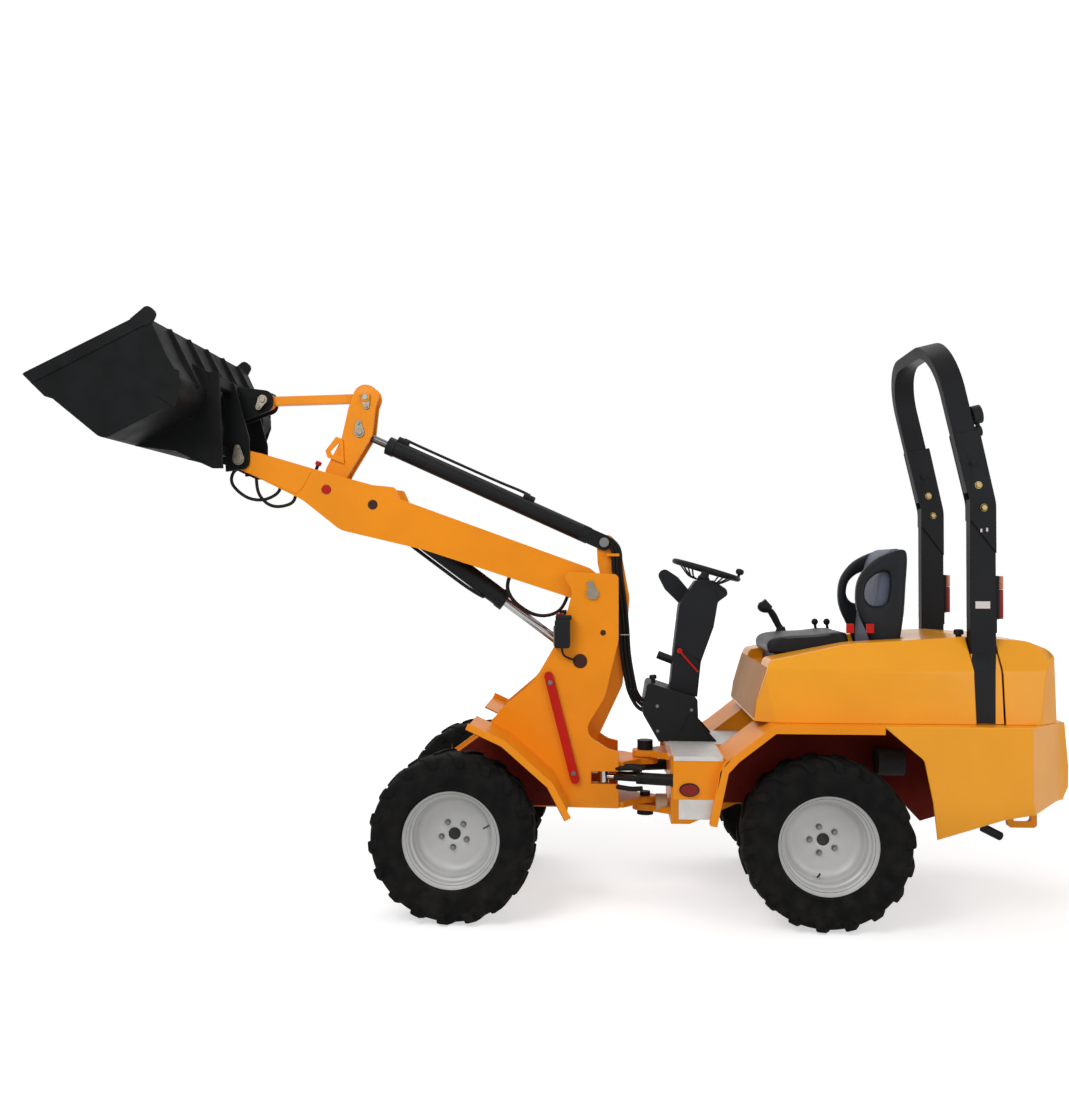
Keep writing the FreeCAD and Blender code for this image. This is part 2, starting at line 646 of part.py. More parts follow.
def quick_hitch():
    """Hitch frame: cheek plates round the boom nose, cross tubes and outer uprights."""
    nose = NOSE_PIN
    top = HITCH_TOP
    face_low = hitch_plane(-60)
    face_high = hitch_plane(380)
    inside = BOOM_HALF + RUNNING_GAP
    cheek = side_plate([(nose.x - 46, nose.z - 46, 44), (face_low.x, face_low.z), (face_high.x, face_high.z),
                        (face_high.x - 60, face_high.z, 20), (nose.x - 46, nose.z + 100, 80)],
                       inside, inside + HITCH_PLATE)
    ear = side_plate([(top.x - 46, top.z - 46, 44), (hitch_plane(180).x - 5, nose.z + 180),
                      (face_high.x - 5, face_high.z), (top.x - 46, top.z + 46, 44)],
                     LEVER_INNER, LEVER_INNER + HITCH_PLATE)
    lower_tube = hitch_strip(12, 62, 15, -HITCH_SPREAD, HITCH_SPREAD)
    upper_tube = hitch_strip(330, 380, 50, -HITCH_SPREAD, HITCH_SPREAD)
    upright = hitch_strip(-60, 400, 50, HITCH_SPREAD - HITCH_PLATE, HITCH_SPREAD)
    shape = fused(both_sides(cheek) + both_sides(ear) + both_sides(upright) + [lower_tube, upper_tube])
    shape = shape.cut(cross_bar(nose.x, nose.z, BOOM_PIN_RADIUS + PIN_GAP, -200, 200))
    heads = both_sides(cross_bar(top.x, top.z, 22, LEVER_INNER + HITCH_PLATE,
                                 LEVER_INNER + HITCH_PLATE + 14))
    return fused([shape] + heads)


def bucket_profile(inset):
    """Side outline of the shell, back and up from the cutting edge."""
    return [(60, inset), (BUCKET_FLOOR, inset, 60), (640 - inset, 345, 110), (600 - inset, 430, 60),
            (470, 478 - inset), (310, 556 - inset)]


def bucket():
    """Bent shell, side plates with rims, cutting edge, back ribs and hitch plates."""
    def place(corners, y0, y1):
        wire = rounded_wire(corners, lambda a, b: bucket_point(a, b) + Vec(0, y0, 0))
        return Part.Face(wire).extrude(Vec(0, y1 - y0, 0))
    half = BUCKET_WIDTH / 2
    outer = bucket_profile(0)
    full = place(outer + [(240, 500)], -half, half)
    hollow = place(bucket_profile(BUCKET_PLATE) + [(240, 500)], -half + BUCKET_PLATE, half - BUCKET_PLATE)
    mouth = place([(-60, BUCKET_PLATE), (64, BUCKET_PLATE), (302, 545), (240, 700), (-200, 700)],
                  -half + BUCKET_PLATE, half - BUCKET_PLATE)
    shell = full.cut(hollow).cut(mouth)
    edge = place([(0, 0), (150, -14), (150, 0), (20, 10)], -half - 4, half + 4)
    knob = place([(300, 500), (240, 500), (262, 600, 28), (318, 596, 28), (330, 540)],
                 half - 14, half + 6)
    rim = place([(4, 6), (64, -4), (318, 536), (300, 566), (250, 512)], half, half + 6)
    ribs = [place([(310, 552), (470, 472), (600, 424), (600, 446), (330, 566)], y - 5, y + 5)
            for y in (-460, -230, 0, 230, 460)]
    foot = hitch_plane(-60)
    head = hitch_plane(400)
    heel = bucket_point(BUCKET_FLOOR, 10)
    bracket = side_plate([(heel.x, heel.z), (heel.x - 200, heel.z - 26), (foot.x + SEAT_GAP, foot.z),
                          (head.x + SEAT_GAP, head.z), (head.x + 120, head.z + 60)],
                         HITCH_SPREAD - HITCH_PLATE, HITCH_SPREAD)
    bracket = bracket.cut(full)
    return fused([shell, edge] + ribs + both_sides(rim) + both_sides(knob) + both_sides(bracket))


# ================================================================ articulation
def steering_cylinder():
    """Left steering cylinder: barrel on the rear body, rod to the front frame."""
    span = (STEER_FRONT - STEER_REAR).Length
    along = (STEER_FRONT - STEER_REAR).normalize()
    length = 330
    eye = Part.makeCylinder(26, STEER_EYE, STEER_REAR - Vec(0, 0, STEER_EYE / 2))
    body = Part.makeCylinder(STEER_BARREL_RADIUS, length - 40, STEER_REAR + along * 40, along)
    neck = Part.makeCylinder(20, 45, STEER_REAR, along)
    barrel = fused([eye, body, neck])
    barrel = barrel.cut(Part.makeCylinder(14.1, length - 50, STEER_REAR + along * 60, along))
    rod = Part.makeCylinder(14, span - 180, STEER_FRONT, along * -1)
    tip = Part.makeCylinder(26, STEER_EYE, STEER_FRONT - Vec(0, 0, STEER_EYE / 2))
    return barrel, fused([rod, tip])


# ================================================================ rear body
def rear_frame():
    """Two side rails, front flange with pivot lugs, cross members and floor bearers."""
    rail_outline = [(FLANGE_X, FLANGE_BOTTOM), (FLANGE_X, FLANGE_TOP), (-1780, FLANGE_TOP),
                    (-1780, 470), (-900, 470), (-860, 440), (-660, 440), (-620, 470),
                    (-420, 470, 40), (-200, 370)]
    rail = side_plate(rail_outline, RAIL_INNER, RAIL_OUTER)
    flange = box(FLANGE_X - 20, FLANGE_X, -RAIL_OUTER, RAIL_OUTER, FLANGE_BOTTOM, FLANGE_TOP)
    rear_cross = box(-1780, -1768, -RAIL_INNER, RAIL_INNER, 470, FLANGE_TOP)
    middle = box(-640, -628, -RAIL_INNER, RAIL_INNER, 470, FLANGE_TOP)
    bearers = [box(x, x + 50, -BODY_HALF + 10, BODY_HALF - 10, FLANGE_TOP, FLOOR_Z - 8)
               for x in (-170, -320)]
    bearers.append(box(-480, -470, -RAIL_OUTER, RAIL_OUTER, FLANGE_TOP - 4, FLOOR_Z - 8))
    feet = both_sides(box(-1560, -1420, RAIL_OUTER - 2, POST_Y + POST_WIDTH / 2, 660, 700))
    lugs = []
    for z in (UPPER_LUG_Z + LUG_THICKNESS + RUNNING_GAP, LOWER_LUG_Z - LUG_THICKNESS - RUNNING_GAP):
        lug = flat_plate([(FLANGE_X - 5, -130), (FLANGE_X - 5, 130), (-20, LUG_RADIUS, 20),
                          (LUG_RADIUS, 40, 40),
                          (LUG_RADIUS, -40, 40), (-20, -LUG_RADIUS, 20)], z, z + LUG_THICKNESS)
        lugs.append(lug.cut(Part.makeCylinder(PIVOT_PIN_RADIUS, 100, Vec(0, 0, z - 30))))
    ears = []
    for z in (STEER_REAR.z - STEER_EYE / 2 - SEAT_GAP - 12, STEER_REAR.z + STEER_EYE / 2 + SEAT_GAP):
        ears += both_sides(box(STEER_REAR.x - 32, STEER_REAR.x + 32, RAIL_INNER + 2, STEER_REAR.y + 28, z,
                               z + 12))
    shape = fused(both_sides(rail) + [flange, rear_cross, middle] + bearers + feet + lugs + ears)
    window = box(STEER_REAR.x - 5, FLANGE_X + 5, 134, RAIL_OUTER + 5, STEER_REAR.z - 30, STEER_REAR.z + 30)
    return shape.cut(window).cut(mirrored(window))


def pivot_pins():
    """Upper and lower articulation pins with their caps."""
    pins = []
    upper = UPPER_LUG_Z + 2 * LUG_THICKNESS + RUNNING_GAP
    lower = LOWER_LUG_Z - LUG_THICKNESS - RUNNING_GAP
    shaft = Part.makeCylinder(PIVOT_PIN_RADIUS, upper - UPPER_LUG_Z + 20, Vec(0, 0, UPPER_LUG_Z - 20))
    cap = Part.makeCylinder(38, 46, Vec(0, 0, upper))
    pins.append(fused([shaft, cap]))
    shaft = Part.makeCylinder(PIVOT_PIN_RADIUS, LOWER_LUG_Z + LUG_THICKNESS + 20 - lower, Vec(0, 0, lower))
    cap = Part.makeCylinder(40, 26, Vec(0, 0, lower - 26))
    pins.append(fused([shaft, cap]))
    return pins


def operator_floor():
    """Tread plate, its side skirts and the lower step plates."""
    deck = box(-328, FLANGE_X + 11, -BODY_HALF, BODY_HALF, FLOOR_Z - 8, FLOOR_Z)
    deck = deck.fuse(box(HOOD_FRONT - 40, -328, -RAIL_OUTER, RAIL_OUTER, FLOOR_Z - 8, FLOOR_Z))
    skirt = side_plate([(FLANGE_X + 11, FLOOR_Z - 8), (-328, FLOOR_Z - 8), (-310, 660), (-288, 560),
                        (FLANGE_X + 11, 560)], BODY_HALF - 8, BODY_HALF)
    hanger = box(-250, -180, 430, 438, 560, FLOOR_Z - 8)
    return fused([deck] + both_sides(skirt) + both_sides(hanger))


def floor_plates():
    """Bright tread plate on the deck, cut round the console, with a folded step on each side."""
    top = FLOOR_Z + SEAT_GAP
    sheet = box(-318, FLANGE_X + 9, -BODY_HALF - 4, BODY_HALF + 4, top, top + FLOOR_SHEET)
    sheet = sheet.fuse(box(HOOD_FRONT - 38, -318, -RAIL_OUTER, RAIL_OUTER, top, top + FLOOR_SHEET))
    edge = BODY_HALF + SEAT_GAP
    lip = box(-318, FLANGE_X + 9, edge, BODY_HALF + 4, top - 16, top + FLOOR_SHEET)
    room = box(-300, FLANGE_X + 20, -CONSOLE_HALF - 1, CONSOLE_HALF + 1, top - 5, top + 20)
    tread = fused([sheet] + both_sides(lip)).cut(room)
    step = box(-288, -126, 430, BODY_HALF - 8, 553, 560 - SEAT_GAP)
    face = box(-288, -126, BODY_HALF - 8, BODY_HALF, 472, 560 - SEAT_GAP)
    return [tread] + both_sides(fused([step, face]))


def console_box():
    """Closed valve box in front of the driver, under the steering column."""
    return side_plate([(-6, 1028, 20), (-245, 952, 20), (-252, FLOOR_Z), (-60, FLOOR_Z), (18, 880, 30)],
                      -CONSOLE_HALF, CONSOLE_HALF)


def steering_column():
    """Moulded pod that leans back from the console to the wheel."""
    lower = side_plate([(-118, 985), (-250, 950), (-268, 1120, 60), (-330, 1290, 60), (-350, 1410, 20),
                        (-398, 1445, 20), (-392, 1472, 20), (-330, 1515, 25), (-245, 1515, 25),
                        (-165, 1400, 60), (-140, 1200, 80)], -66, 66)
    paddle = side_plate([(-175, 1395), (-100, 1470, 25), (-62, 1545, 30), (-98, 1575, 30), (-165, 1530, 40),
                         (-215, 1470)], -52, -40)
    pedal = bar(Vec(-140, 0, 1120), Vec(-62, 0, 1150), 20)
    lower = fused([lower, paddle, pedal])
    hub = bar(WHEEL_CENTRE - wheel_axis() * 110, WHEEL_CENTRE - wheel_axis() * 34, 24)
    return fused([lower, hub]).cut(console_box())


def wheel_axis():
    turn = math.radians(WHEEL_TILT)
    return Vec(-math.sin(turn), 0, math.cos(turn))


def steering_wheel():
    """Rim, three spokes, hub and spinner knob."""
    rim_ring = Part.makeTorus(WHEEL_RADIUS - 13, 13)
    hub = Part.makeCylinder(38, 34, Vec(0, 0, -34 + SEAT_GAP))
    spokes = [turned(box(20, WHEEL_RADIUS - 16, -13, 13, -16, -6), Vec(0, 0, 0), Z_AXIS, a)
              for a in (60, 180, 300)]
    feet = [turned(bar(Vec(WHEEL_RADIUS - 30, 0, -10), Vec(WHEEL_RADIUS - 13, 0, 0), 8), Vec(0, 0, 0),
                   Z_AXIS, a)
            for a in (60, 180, 300)]
    knob = Part.makeCylinder(20, 40, Vec(13 - WHEEL_RADIUS, 0, 12))
    shape = fused([hub, rim_ring, knob] + spokes + feet)
    shape = turned(shape, Vec(0, 0, 0), Y_AXIS, -WHEEL_TILT)
    shape.translate(WHEEL_CENTRE)
    return shape


def rear_fender():
    """Folded band over the rear wheel, from its foot back to the side panel."""
    inner_y = 212 + SEAT_GAP
    band = side_plate(folded_outline([(-330, 735), (-362, 755), (-533, BALLAST_TOP), (-1008, BALLAST_TOP)],
                                     5), inner_y, 600)
    foot = side_plate(folded_outline([(-258, 455), (-300, 690), (-330, 735), (-362, 755)], 5),
                      BODY_HALF + 0.5, 600)
    lip = side_plate(folded_outline([(-258, 455), (-310, 698), (-362, 755), (-533, 888), (-1008, 888)],
                                    32), 596, 600)
    panel = side_plate([(-330, 735), (-362, 755), (-533, BALLAST_TOP), (-1008, BALLAST_TOP), (-1008, 600),
                        (-330, 600)], inner_y, inner_y + 5)
    return fused([band, foot, lip, panel])


def crossed(side, front, plan):
    """Solid common to a side outline, a front outline and a plan outline."""
    a = side_plate(side, -700, 700)
    b = cross_plate(front, -2000, 0)
    c = flat_plate(plan, 0, 2000)
    return a.common(b).common(c)


def hood_form(inset):
    """Form of the whole hood, inset by a sheet thickness."""
    side = [(HOOD_FRONT - inset, HOOD_BOTTOM), (HOOD_FRONT - 12 - inset, 980),
            (-540 - inset, 1160 - inset, 30),
            (-902, 1232 - inset, 400), (-1427, 1264 - inset, 400), (-1690, 1248 - inset, 120),
            (-1790 + inset, 1205 - inset, 60), (-1806 + inset, HOOD_BOTTOM)]
    half = HOOD_HALF - inset
    front = [(half, HOOD_BOTTOM), (half - 30, 1120, 60), (half - 150, 1270 - inset),
             (150 - half, 1270 - inset),
             (30 - half, 1120, 60), (-half, HOOD_BOTTOM)]
    plan = [(HOOD_FRONT + 50, half - 90), (-560, half), (-1700, half, 60), (-1850, half - 130, 40),
            (-1850, 130 - half, 40), (-1700, -half, 60), (-560, -half), (HOOD_FRONT + 50, 90 - half)]
    return crossed(side, front, plan)


SEAT_WELL_Z = 1112.0
SEAT_HALF = 215.0


def hoods():
    """Fixed front hood and the hinged rear bonnet, split at the post line."""
    well = box(-1190, 0, -235, 235, SEAT_WELL_Z, 1400)
    well_inner = box(-1190 - HOOD_SHEET, 0, -241, 241, SEAT_WELL_Z - HOOD_SHEET, 1400)
    outer = hood_form(0)
    inner = hood_form(HOOD_SHEET)
    cavity = inner.cut(well_inner).common(box(-1990, 0, -700, 700, HOOD_BOTTOM - 1, 1400))
    shell = outer.cut(well).cut(cavity)
    front = shell.common(box(HOOD_SEAM, 0, -700, 700, 0, 1400))
    rear = shell.common(box(-2000, HOOD_SEAM - RUNNING_GAP, -700, 700, HOOD_BOTTOM, 1400))
    for y0, y1 in ((POST_Y - 40, 700), (-700, 40 - POST_Y)):
        rear = rear.cut(box(POST_X - POST_DEPTH / 2 - 8, 0, y0, y1, 0, 1400))
    return front, rear


def rear_ballast():
    """Cast rear weight with chamfered corners that closes the body behind the wheels."""
    side = [(-1008, BALLAST_TOP), (-1182, 742, 30), (-1254, 384), (-1527, 482), (REAR_END + 32, 545, 20),
            (REAR_END, 600, 20), (REAR_END, 700, 20), (REAR_END + 20, BALLAST_TOP)]
    block = side_plate(side, -BODY_HALF, BODY_HALF)
    front = [(BODY_HALF, BALLAST_TOP), (BODY_HALF, 560), (BODY_HALF - 60, 380), (60 - BODY_HALF, 380),
             (-BODY_HALF, 560), (-BODY_HALF, BALLAST_TOP)]
    plan = [(-900, BODY_HALF), (-1640, BODY_HALF), (-1800, 400), (REAR_END, 360), (REAR_END, -360),
            (-1800, -400),
            (-1640, -BODY_HALF), (-900, -BODY_HALF)]
    block = block.common(cross_plate(front, -2000, 0)).common(flat_plate(plan, 0, 2000))
    bay = box(-1780, 0, -RAIL_OUTER, RAIL_OUTER, 0, 1000)
    skin = BODY_HALF - 9
    pocket = cross_plate([(RAIL_OUTER - 1, 300), (skin - 87, 300), (skin - 60, 380), (skin, 560),
                          (skin, 870),
                          (RAIL_OUTER - 1, 870)], -1560, -1000)
    arch = cross_plate([(-skin, 562), (60 - skin, 382), (60 - skin, 300), (skin - 60, 300), (skin - 60, 382),
                        (skin, 562), (skin, HOOD_BOTTOM - 8), (-skin, HOOD_BOTTOM - 8)], -1190, -1000)
    block = block.cut(bay).cut(arch)
    for side_pocket in both_sides(pocket):
        block = block.cut(side_pocket)
    for y0, y1 in ((POST_Y - 34, POST_Y + 34), (-POST_Y - 34, 34 - POST_Y)):
        block = block.cut(box(POST_X - 62, POST_X + 62, y0, y1, 860, 1000))
    return block


def rops_posts():
    """Lower posts with the hinge bolts of the folding hoop."""
    posts = []
    half = POST_WIDTH / 2
    for side in (1, -1):
        centre = side * POST_Y
        post = box(POST_X - POST_DEPTH / 2, POST_X + POST_DEPTH / 2, centre - half, centre + half, 700,
                   HOOP_PIVOT_Z + POST_ABOVE_HINGE)
        reach = half + CHEEK + 12
        posts.append(fused([post, cross_bar(POST_X, HOOP_PIVOT_Z, HINGE_BOLT, centre - reach,
                                            centre + reach)]))
    return posts


def rops_hoop():
    """Bent hoop in one leaning plane, with cheek plates that reach down beside the posts."""
    half = POST_WIDTH / 2 - 3
    top = 800
    bend = 260
    outer = [(POST_Y + half, HOOP_FOOT), (POST_Y + half, top, bend), (-POST_Y - half, top, bend),
             (-POST_Y - half, HOOP_FOOT), (half - POST_Y, HOOP_FOOT),
             (half - POST_Y, top - 2 * half, bend - 2 * half),
             (POST_Y - half, top - 2 * half, bend - 2 * half), (POST_Y - half, HOOP_FOOT)]
    hoop = turned(cross_plate(outer, -50, 50), Vec(0, 0, 0), Y_AXIS, HOOP_LEAN)
    hoop.translate(Vec(POST_X, 0, HOOP_PIVOT_Z))
    back, front = POST_X - POST_DEPTH / 2, POST_X + POST_DEPTH / 2
    high = HOOP_PIVOT_Z + 330
    shift = (high - HOOP_PIVOT_Z - 20) * math.tan(math.radians(HOOP_LEAN))
    profile = [(back, HOOP_PIVOT_Z - 205), (front, HOOP_PIVOT_Z - 55), (front, HOOP_PIVOT_Z + 20, 200),
               (front + shift, high), (back + shift, high + 20), (back, HOOP_PIVOT_Z + 20, 200)]
    near = POST_WIDTH / 2 + CHEEK_GAP
    bolt = polar(Vec(POST_X, 0, HOOP_PIVOT_Z), 205, 90 - HOOP_LEAN)
    parts = [hoop]
    for side in (1, -1):
        centre = side * POST_Y
        for inner in (centre - near - CHEEK, centre + near):
            plate = side_plate(profile, inner, inner + CHEEK)
            parts.append(plate.cut(cross_bar(POST_X, HOOP_PIVOT_Z, HINGE_BOLT + PIN_GAP, -900, 900)))
        parts.append(cross_bar(bolt.x, bolt.z, 40, centre - near, centre + near))
        parts.append(cross_bar(bolt.x, bolt.z, HINGE_BOLT, centre - near - CHEEK - 11,
                               centre + near + CHEEK + 11))
    return fused(parts)


def seat():
    """Seat frame, cushion, and back with a looped bolster on each side."""
    frame = box(-1150, -600, -190, 190, SEAT_WELL_Z, SEAT_WELL_Z + 60)
    bottom = SEAT_WELL_Z + 60 + SEAT_GAP
    cushion = side_plate([(-570, bottom, 20), (-575, 1245, 40), (-900, 1262, 30), (-930, bottom, 20)],
                         -225, 225)
    outline = [(-1150, bottom, 20), (-1068, bottom, 20), (-1030, 1270, 60), (-978, 1380, 60),
               (-972, 1490, 60), (-1040, 1600, 60), (-1150, 1662, 40), (-1205, 1662, 30),
               (-1215, 1560, 30), (-1180, 1250, 60)]
    loop = side_plate([(-1045, 1385, 15), (-1010, 1440, 20), (-1016, 1500, 20), (-1062, 1545, 15),
                       (-1085, 1500, 20), (-1080, 1420, 20)], 100, 300)
    side = side_plate(outline, SEAT_HALF - 48, SEAT_HALF).cut(loop)
    rear_shell = [(-1060, bottom, 20), (-1080, 1560, 80), (-1120, 1660, 30), (-1190, 1670, 60),
                  (-1215, 1600, 80), (-1180, 1250, 60), (-1130, bottom, 20)]
    middle = side_plate(rear_shell, 40 - SEAT_HALF, SEAT_HALF - 40)
    return frame, cushion, fused(both_sides(side) + [middle])


def control_levers():
    """Lever console at the driver's right, with a joystick and two short levers."""
    console = side_plate([(-1010, 1120), (-620, 1120), (-640, 1200, 30), (-760, 1232, 40),
                          (-1010, 1250, 30)],
                         -330, -245).cut(hood_form(0))
    boot = Part.makeCone(34, 16, 60, Vec(-712, -290, 1214))
    stick = bar(Vec(-712, -290, 1240), Vec(-640, -290, 1372), 12)
    knob = bar(Vec(-648, -290, 1360), Vec(-612, -290, 1400), 24)
    levers = [bar(Vec(x, -275, 1239), Vec(x + 8, -275, 1296), 7) for x in (-885, -945)]
    knobs = [Part.makeSphere(17, Vec(x + 8, -275, 1300)) for x in (-885, -945)]
    return fused([console, boot, stick, knob] + levers + knobs)


def engine_block():
    """Engine and pump as one plain block between the rails."""
    half = RAIL_INNER - SEAT_GAP
    return box(-1700, -1010, -half, half, 520, 1050)


def muffler():
    """Silencer in the left rear wheel arch, with its bracket."""
    can = bar(Vec(-1160, 300, 690), Vec(-1040, 300, 690), 62)
    bracket = box(-1120, -1080, 212 + SEAT_GAP, 300, 640, 740)
    return fused([can, bracket])


def tow_hook():
    """Towing loop of round bar under the rear weight."""
    plate = side_plate([(-1868, 470, 20), (-1868, 330, 20), (-1730, 330, 20), (-1730, 470, 20)], -14, 14)
    hole = side_plate([(-1840, 442, 14), (-1840, 358, 14), (-1758, 358, 14), (-1758, 442, 14)], -20, 20)
    arm = box(-1800, -1780, -30, 30, 440, 500)
    return plate.cut(hole).fuse(arm)


def rear_lamps():
    """Tall tail lamps on their brackets behind both posts."""
    face = POST_X - POST_DEPTH / 2 - SEAT_GAP
    bracket = box(face - 6, face, POST_Y - 22, POST_Y + 22, 1285, 1540)
    lamp = box(face - 34, face - 6, POST_Y - 26, POST_Y + 26, 1345, 1540)
    return both_sides(bracket.fuse(lamp))


def side_markers():
    """Round side markers on the floor skirts."""
    return both_sides(cross_bar(-172, 602, 34, BODY_HALF, BODY_HALF + 14))


def hoop_lamp():
    """Work lamp clamped to the left leg of the hoop."""
    place = polar(Vec(POST_X, 0, HOOP_PIVOT_Z), 380, 90 - HOOP_LEAN)
    lean = math.radians(HOOP_LEAN)
    along = Vec(math.sin(lean), 0, math.cos(lean))
    behind = Vec(-math.cos(lean), 0, math.sin(lean))
    seat = place + behind * (50 + SEAT_GAP) + Vec(0, POST_Y, 0)
    clamp = bar(seat - along * 40, seat - along * 40 + behind * 30, 24)
    stem = bar(seat - along * 40 + behind * 20, seat + along * 34 + behind * 26, 10)
    body = bar(seat + along * 34 + behind * 6, seat + along * 34 + behind * 44, 42)
    return fused([clamp, stem, body])


def make_rear_body():
    save("rear_frame", rear_frame())
    save("rear_axle", axle(REAR_AXLE_X, 440, 206))
    save("pivot_pins", pivot_pins())
    save("operator_floor", operator_floor())
    save("floor_plates", floor_plates())
    save("console_box", console_box())
    save("steering_column", steering_column())
    save("steering_wheel", steering_wheel())
    save("rear_fenders", both_sides(rear_fender()))
    front, rear = hoods()
    save("hood", front)
    save("engine_bonnet", rear)
    save("rear_ballast", rear_ballast())
    save("rops_posts", rops_posts())
    save("rops_hoop", rops_hoop())
    frame, cushion, back = seat()
    save("seat_frame", frame)
    save("seat_cushion", cushion)
    save("seat_back", back)
    save("control_levers", control_levers())
    save("engine_block", engine_block())
    save("muffler", muffler())
    save("tow_hook", tow_hook())
    save("rear_lamps", rear_lamps())
    save("hoop_lamp", hoop_lamp())
    save("side_markers", side_markers())
    barrel, rod = steering_cylinder()
    save("steering_barrel_left", barrel)
    save("steering_rod_left", rod)
    save("steering_barrel_right", mirrored(barrel))
    save("steering_rod_right", mirrored(rod))


def main():
    os.makedirs("parts", exist_ok=True)
    make_wheels()
    save("front_frame", front_frame())
    save("front_axle", axle(FRONT_AXLE_X, 440, 120))
    save("tower_pins", tower_pins())
    save("front_fenders", both_sides(front_fender()))
    save("lock_bar", lock_bar())
    save("work_lamps", work_lamps())
    save("boom", boom())
    save("boom_hoses", boom_hoses())
    save("tilt_hoses", tilt_hoses())
    save("boom_pins", boom_pins())
    lift_barrel, lift_rod = lift_cylinder()
    save("lift_cylinder_barrel", lift_barrel)
    save("lift_cylinder_rod", lift_rod)
    tilt_barrel, tilt_rod = tilt_cylinder()
    save("tilt_cylinder_barrel", tilt_barrel)
    save("tilt_cylinder_rod", tilt_rod)
    save("tilt_lever", tilt_lever())
    save("tilt_link", tilt_link())
    save("quick_hitch", quick_hitch())
    save("bucket", bucket())
    make_rear_body()


main()
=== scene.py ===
"""Looks of the compact articulated wheel loader.

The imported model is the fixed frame.  Every class below dresses one
sub-assembly of the machine: it gives the solids their finishes, puts rounded
sheet metal over the plain ones and adds the parts that are only looks.
Lengths inside the classes are millimetres in the machine's own layout, where
x = 0 is the articulation pivot; ``place`` turns them into metres in the frame.
"""

import json
import logging
import math
from dataclasses import dataclass, field
from enum import Enum
from typing import ClassVar, Dict, Iterable, List, Optional, Sequence, Tuple, Union

import bmesh
import bpy
from mathutils import Matrix, Vector

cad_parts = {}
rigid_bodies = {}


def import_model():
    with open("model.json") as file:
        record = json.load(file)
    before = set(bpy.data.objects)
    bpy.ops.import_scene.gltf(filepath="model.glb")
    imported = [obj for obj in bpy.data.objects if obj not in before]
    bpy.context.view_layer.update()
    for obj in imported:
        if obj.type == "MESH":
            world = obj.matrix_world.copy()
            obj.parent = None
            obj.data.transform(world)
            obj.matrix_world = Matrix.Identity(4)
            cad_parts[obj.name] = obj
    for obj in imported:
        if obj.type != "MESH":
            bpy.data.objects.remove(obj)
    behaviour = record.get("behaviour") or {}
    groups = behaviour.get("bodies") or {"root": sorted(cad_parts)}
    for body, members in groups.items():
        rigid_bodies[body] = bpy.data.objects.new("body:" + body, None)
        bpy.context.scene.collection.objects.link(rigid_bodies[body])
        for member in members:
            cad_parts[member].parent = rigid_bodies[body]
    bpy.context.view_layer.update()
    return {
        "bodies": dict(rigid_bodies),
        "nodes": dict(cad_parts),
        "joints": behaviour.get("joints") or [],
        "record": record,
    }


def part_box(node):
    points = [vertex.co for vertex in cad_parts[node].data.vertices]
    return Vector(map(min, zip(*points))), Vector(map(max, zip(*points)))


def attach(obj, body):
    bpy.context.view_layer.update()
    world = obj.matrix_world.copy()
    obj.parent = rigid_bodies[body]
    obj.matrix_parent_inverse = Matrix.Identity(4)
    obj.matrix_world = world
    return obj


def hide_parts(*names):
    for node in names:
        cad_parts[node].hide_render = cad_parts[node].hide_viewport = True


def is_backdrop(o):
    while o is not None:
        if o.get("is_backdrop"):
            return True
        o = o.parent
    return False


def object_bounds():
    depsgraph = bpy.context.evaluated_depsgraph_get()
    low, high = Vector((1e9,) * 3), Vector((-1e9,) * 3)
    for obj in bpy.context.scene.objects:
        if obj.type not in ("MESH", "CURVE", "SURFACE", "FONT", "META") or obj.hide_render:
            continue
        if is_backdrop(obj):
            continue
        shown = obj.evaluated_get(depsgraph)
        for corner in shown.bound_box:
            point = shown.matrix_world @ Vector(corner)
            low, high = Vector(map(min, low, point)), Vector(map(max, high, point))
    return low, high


LOG = logging.getLogger("loader")
Point = Tuple[float, float, float]
Pair = Tuple[float, float]
Colour = Tuple[float, float, float]
Piece = bpy.types.Object
Tree = bpy.types.NodeTree
Socket = bpy.types.NodeSocket
Shape = bmesh.types.BMesh
Material = bpy.types.Material
Ring = Sequence[bmesh.types.BMVert]
Spot = Union[Point, Vector]

MIDDLE_X = 472.5
MM = 0.001
SHARP = math.radians(32)
ROD_SIDES = 32
SMALLEST = 0.01
SIDES = ((1, "left"), (-1, "right"))
TO_LEFT: Point = (-math.pi / 2, 0.0, 0.0)
TO_RIGHT: Point = (math.pi / 2, 0.0, 0.0)
WELD = 2e-5
FLAT = math.radians(0.5)
SLACK = 0.004
COAT_ROUGHNESS = 0.12
WEAR_SCALE = 70.0


def place(x: float, y: float, z: float) -> Vector:
    """Return a layout point in millimetres as a frame point in metres."""
    return Vector(((x - MIDDLE_X) * MM, y * MM, z * MM))


def span(side: int, inner: float, outer: float) -> Tuple[float, float]:
    """Return the lower and upper Y of a piece that lies between two distances on one side."""
    return min(side * inner, side * outer), max(side * inner, side * outer)


def polar(start: Vector, length: float, degrees: float) -> Vector:
    """Return the layout point at a length and an angle up from +X."""
    turn = math.radians(degrees)
    return start + Vector((length * math.cos(turn), 0, length * math.sin(turn)))


